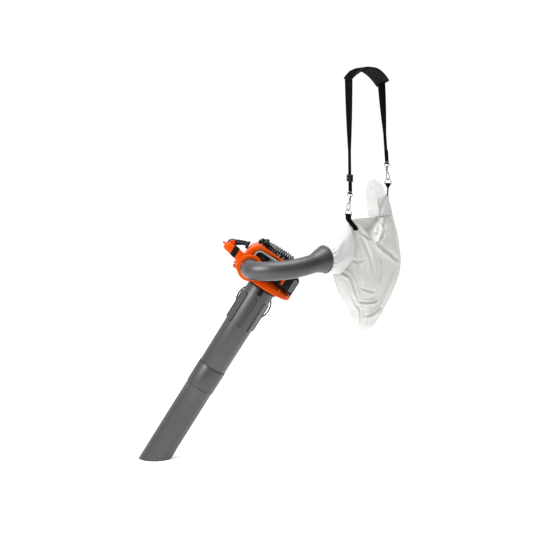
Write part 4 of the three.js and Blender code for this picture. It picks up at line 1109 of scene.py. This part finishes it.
def in_notch(u, v):
    """Depth inside the V between the two loops, where the front's edge falls away and the back shows."""
    a, b, c = Vector((176, 1012)), Vector((346, 1012)), Vector((297, 912))
    p = Vector((u, v))

    def side(q, r):
        d = (r - q).normalized()
        return d.x * (p.y - q.y) - d.y * (p.x - q.x)

    inside = min(side(a, c), side(c, b))
    return smooth(-2, 5, inside)


def bag():
    rings, flat = [], []
    sides = 220
    low, high = BAG_ROWS[0][0], BAG_ROWS[-1][0]
    heights = [lerp(low, 1003, (k / 128) ** 0.97) for k in range(129)]
    heights += [lerp(1003, 1010, k / 10) for k in range(1, 11)] + [lerp(1010, high, k / 26) for k in range(1, 27)]
    for z in heights:
        left, right, thick = row_at(BAG_ROWS, z)
        centre = (left + right) / 2
        outline = (right - left) / 2
        half = sqrt(max(outline ** 2 - (0.8 * thick) ** 2, (0.5 * outline) ** 2))
        ring = []
        for j in range(sides):
            a = TAU * j / sides
            x, y = cos(a), -sin(a)
            s = centre + half * x
            n = thick * power(y, 1.12)
            if z > 1003:
                far = lerp(156, 340, (z - 1003) / 94)
                across = (s - (far + right) / 2) / ((right - far) / 2)
                full = max(0, 1 - across * across) ** 0.5 * (0.25 + 0.75 * smooth(0, 14, s - left))
                n = copysign(thick * full * min(1, 3 * abs(y)), y)
            front = smooth(0, 14, n)
            back = smooth(0, 14, -n)
            rough = ripple(s / 46, z / 60, 5 if n > 0 else 9) * 5
            rough += ripple(s / 17 + 3, z / 26, 2 if n > 0 else 7) * 1.8
            if front > 0:
                u = s + n * 0.85
                n -= front * (1.45 * fold_depth(FOLDS, u, z) - rough)
                n = lerp(n, min(n, -thick * 0.35), front * in_notch(u, z) * smooth(905, 925, z))
            if back > 0:
                n += back * (fold_depth(BACK_FOLDS, s - n * 0.4, z) + rough)
            sway = 3.0 * ripple(z / 38, 1.7, x * 0.6) * smooth(521, 560, z)
            ring.append(bag_point(s + sway * abs(x) ** 3, n, z))
            flat.append((a * (half + thick) / 2 * MM, z * MM, 0))
        rings.append(ring)
    Builder().loft(rings, flat=flat).piece("bag_shell", "bag_cloth", replaces="bag", smooth_angle=80)
    seams = Builder()
    for edge in (0, sides // 2):
        path = curve([ring[edge] for ring in rings[3:-3:6]], 160)
        seams.sweep(path, 0.0012, 8)
    seams.piece("bag_side_seams", "bag_cloth")


def bag_neck():
    """From the elbow's flare the neck widens and climbs to the bag's front corner."""
    sides, rows = 160, 70
    rings, flat = [], []

    def section(t, inset):
        s = lerp(-5, 128, t)
        centre_z = lerp(858, 893, smooth(0.05, 1, t) * 0.6 + t * 0.4)
        tall = lerp(56, 95, smooth(-0.15, 0.85, t)) - inset
        wide = lerp(54, 47, t) - inset
        ring = []
        for j in range(sides):
            f = -TAU * j / sides
            pleat = (1 - smooth(0.0, 0.34, t)) * 1.7 * cos(26 * f + 2 * sin(3 * f)) * smooth(0, 0.05, t)
            crease = 4.2 * ripple(cos(f) * 2.2, sin(f) * 2.2, t * 2.6) * smooth(0.05, 0.35, t)
            crease += 3.6 * exp(-((sin(f + 2.2 * t + 0.7) - 0.3) / 0.13) ** 2) * smooth(0.15, 0.5, t)
            r = pleat - crease
            z = centre_z + (tall + r) * sin(f)
            ring.append(bag_point(s, -(wide + r) * cos(f), z))
        return s, ring

    for inset, order in ((0, range(rows + 1)), (1.4, reversed(range(rows + 1)))):
        for k in order:
            s, ring = section(k / rows, inset)
            rings.append(ring)
            flat += [(TAU * j / sides * 60 * MM, s * MM, 0) for j in range(sides)]
    neck = Builder().loft(rings + rings[:1], caps=False, flat=flat + flat[:sides])
    # The neck's lighter cloth is painted light, a lit copy of the bag's own cloth.
    neck.piece("bag_neck", "bag_cloth", replaces="bag_sleeve", smooth_angle=80, look="bag_cloth_painted_light")


# The flap's outline: height, and its two edges along s.
FLAP_ROWS = [(985, 300, 420), (1006, 296, 420), (1041, 282, 420), (1070, 274, 419), (1092, 269, 418),
        (1112, 269, 414), (1130, 273, 406), (1142, 279, 394), (1152, 285, 374), (1158, 290, 356),
        (1163, 306, 342)]


def bag_flap():
    """The back panel's upper flap, standing up between the loops."""
    wide, tall = 90, 70
    rings = []
    for k in range(tall + 1):
        z = lerp(FLAP_ROWS[0][0], FLAP_ROWS[-1][0], k / tall)
        left, right = row_at(FLAP_ROWS, z)
        line = []
        for x in (i / wide for i in range(wide + 1)):
            n = -22 + 9 * sin(3.1 * x + 0.6) * smooth(985, 1060, z) - 14 * smooth(1040, 1162, z) * x
            n += 4 * ripple(x * 3.4, z / 48, 4) + 1.2 * ripple(x * 9, z / 18, 8)
            line.append((lerp(left, right, x), n))
        rings.append([bag_point(s, n + 0.6, z) for s, n in line]
                + [bag_point(s, n - 0.6, z) for s, n in reversed(line)])
    flat = [(i * 0.0016, k * 0.0025, 0) for k in range(tall + 1) for i in range(2 * (wide + 1))]
    flap = Builder().loft(rings, flat=flat).piece("bag_flap", "bag_cloth", smooth_angle=80, look="bag_cloth_thin")


# ---- Everything is made, in this order ----
studio()
dress_cad()
intake_tubes()
door_rim()
elbow()
fan_housing()
starter()
muffler_guard()
tank_ribs()
cruise_knob()
for make in (hardware, strap_leg):
    for strap_end in (FRONT, REAR):
        make(strap_end)
shoulder_pad()
strap_adjuster()
bag_loops()
bag()
bag_neck()
bag_flap()

# ---- The end: the view layer is brought up to date ----
bpy.context.view_layer.update()
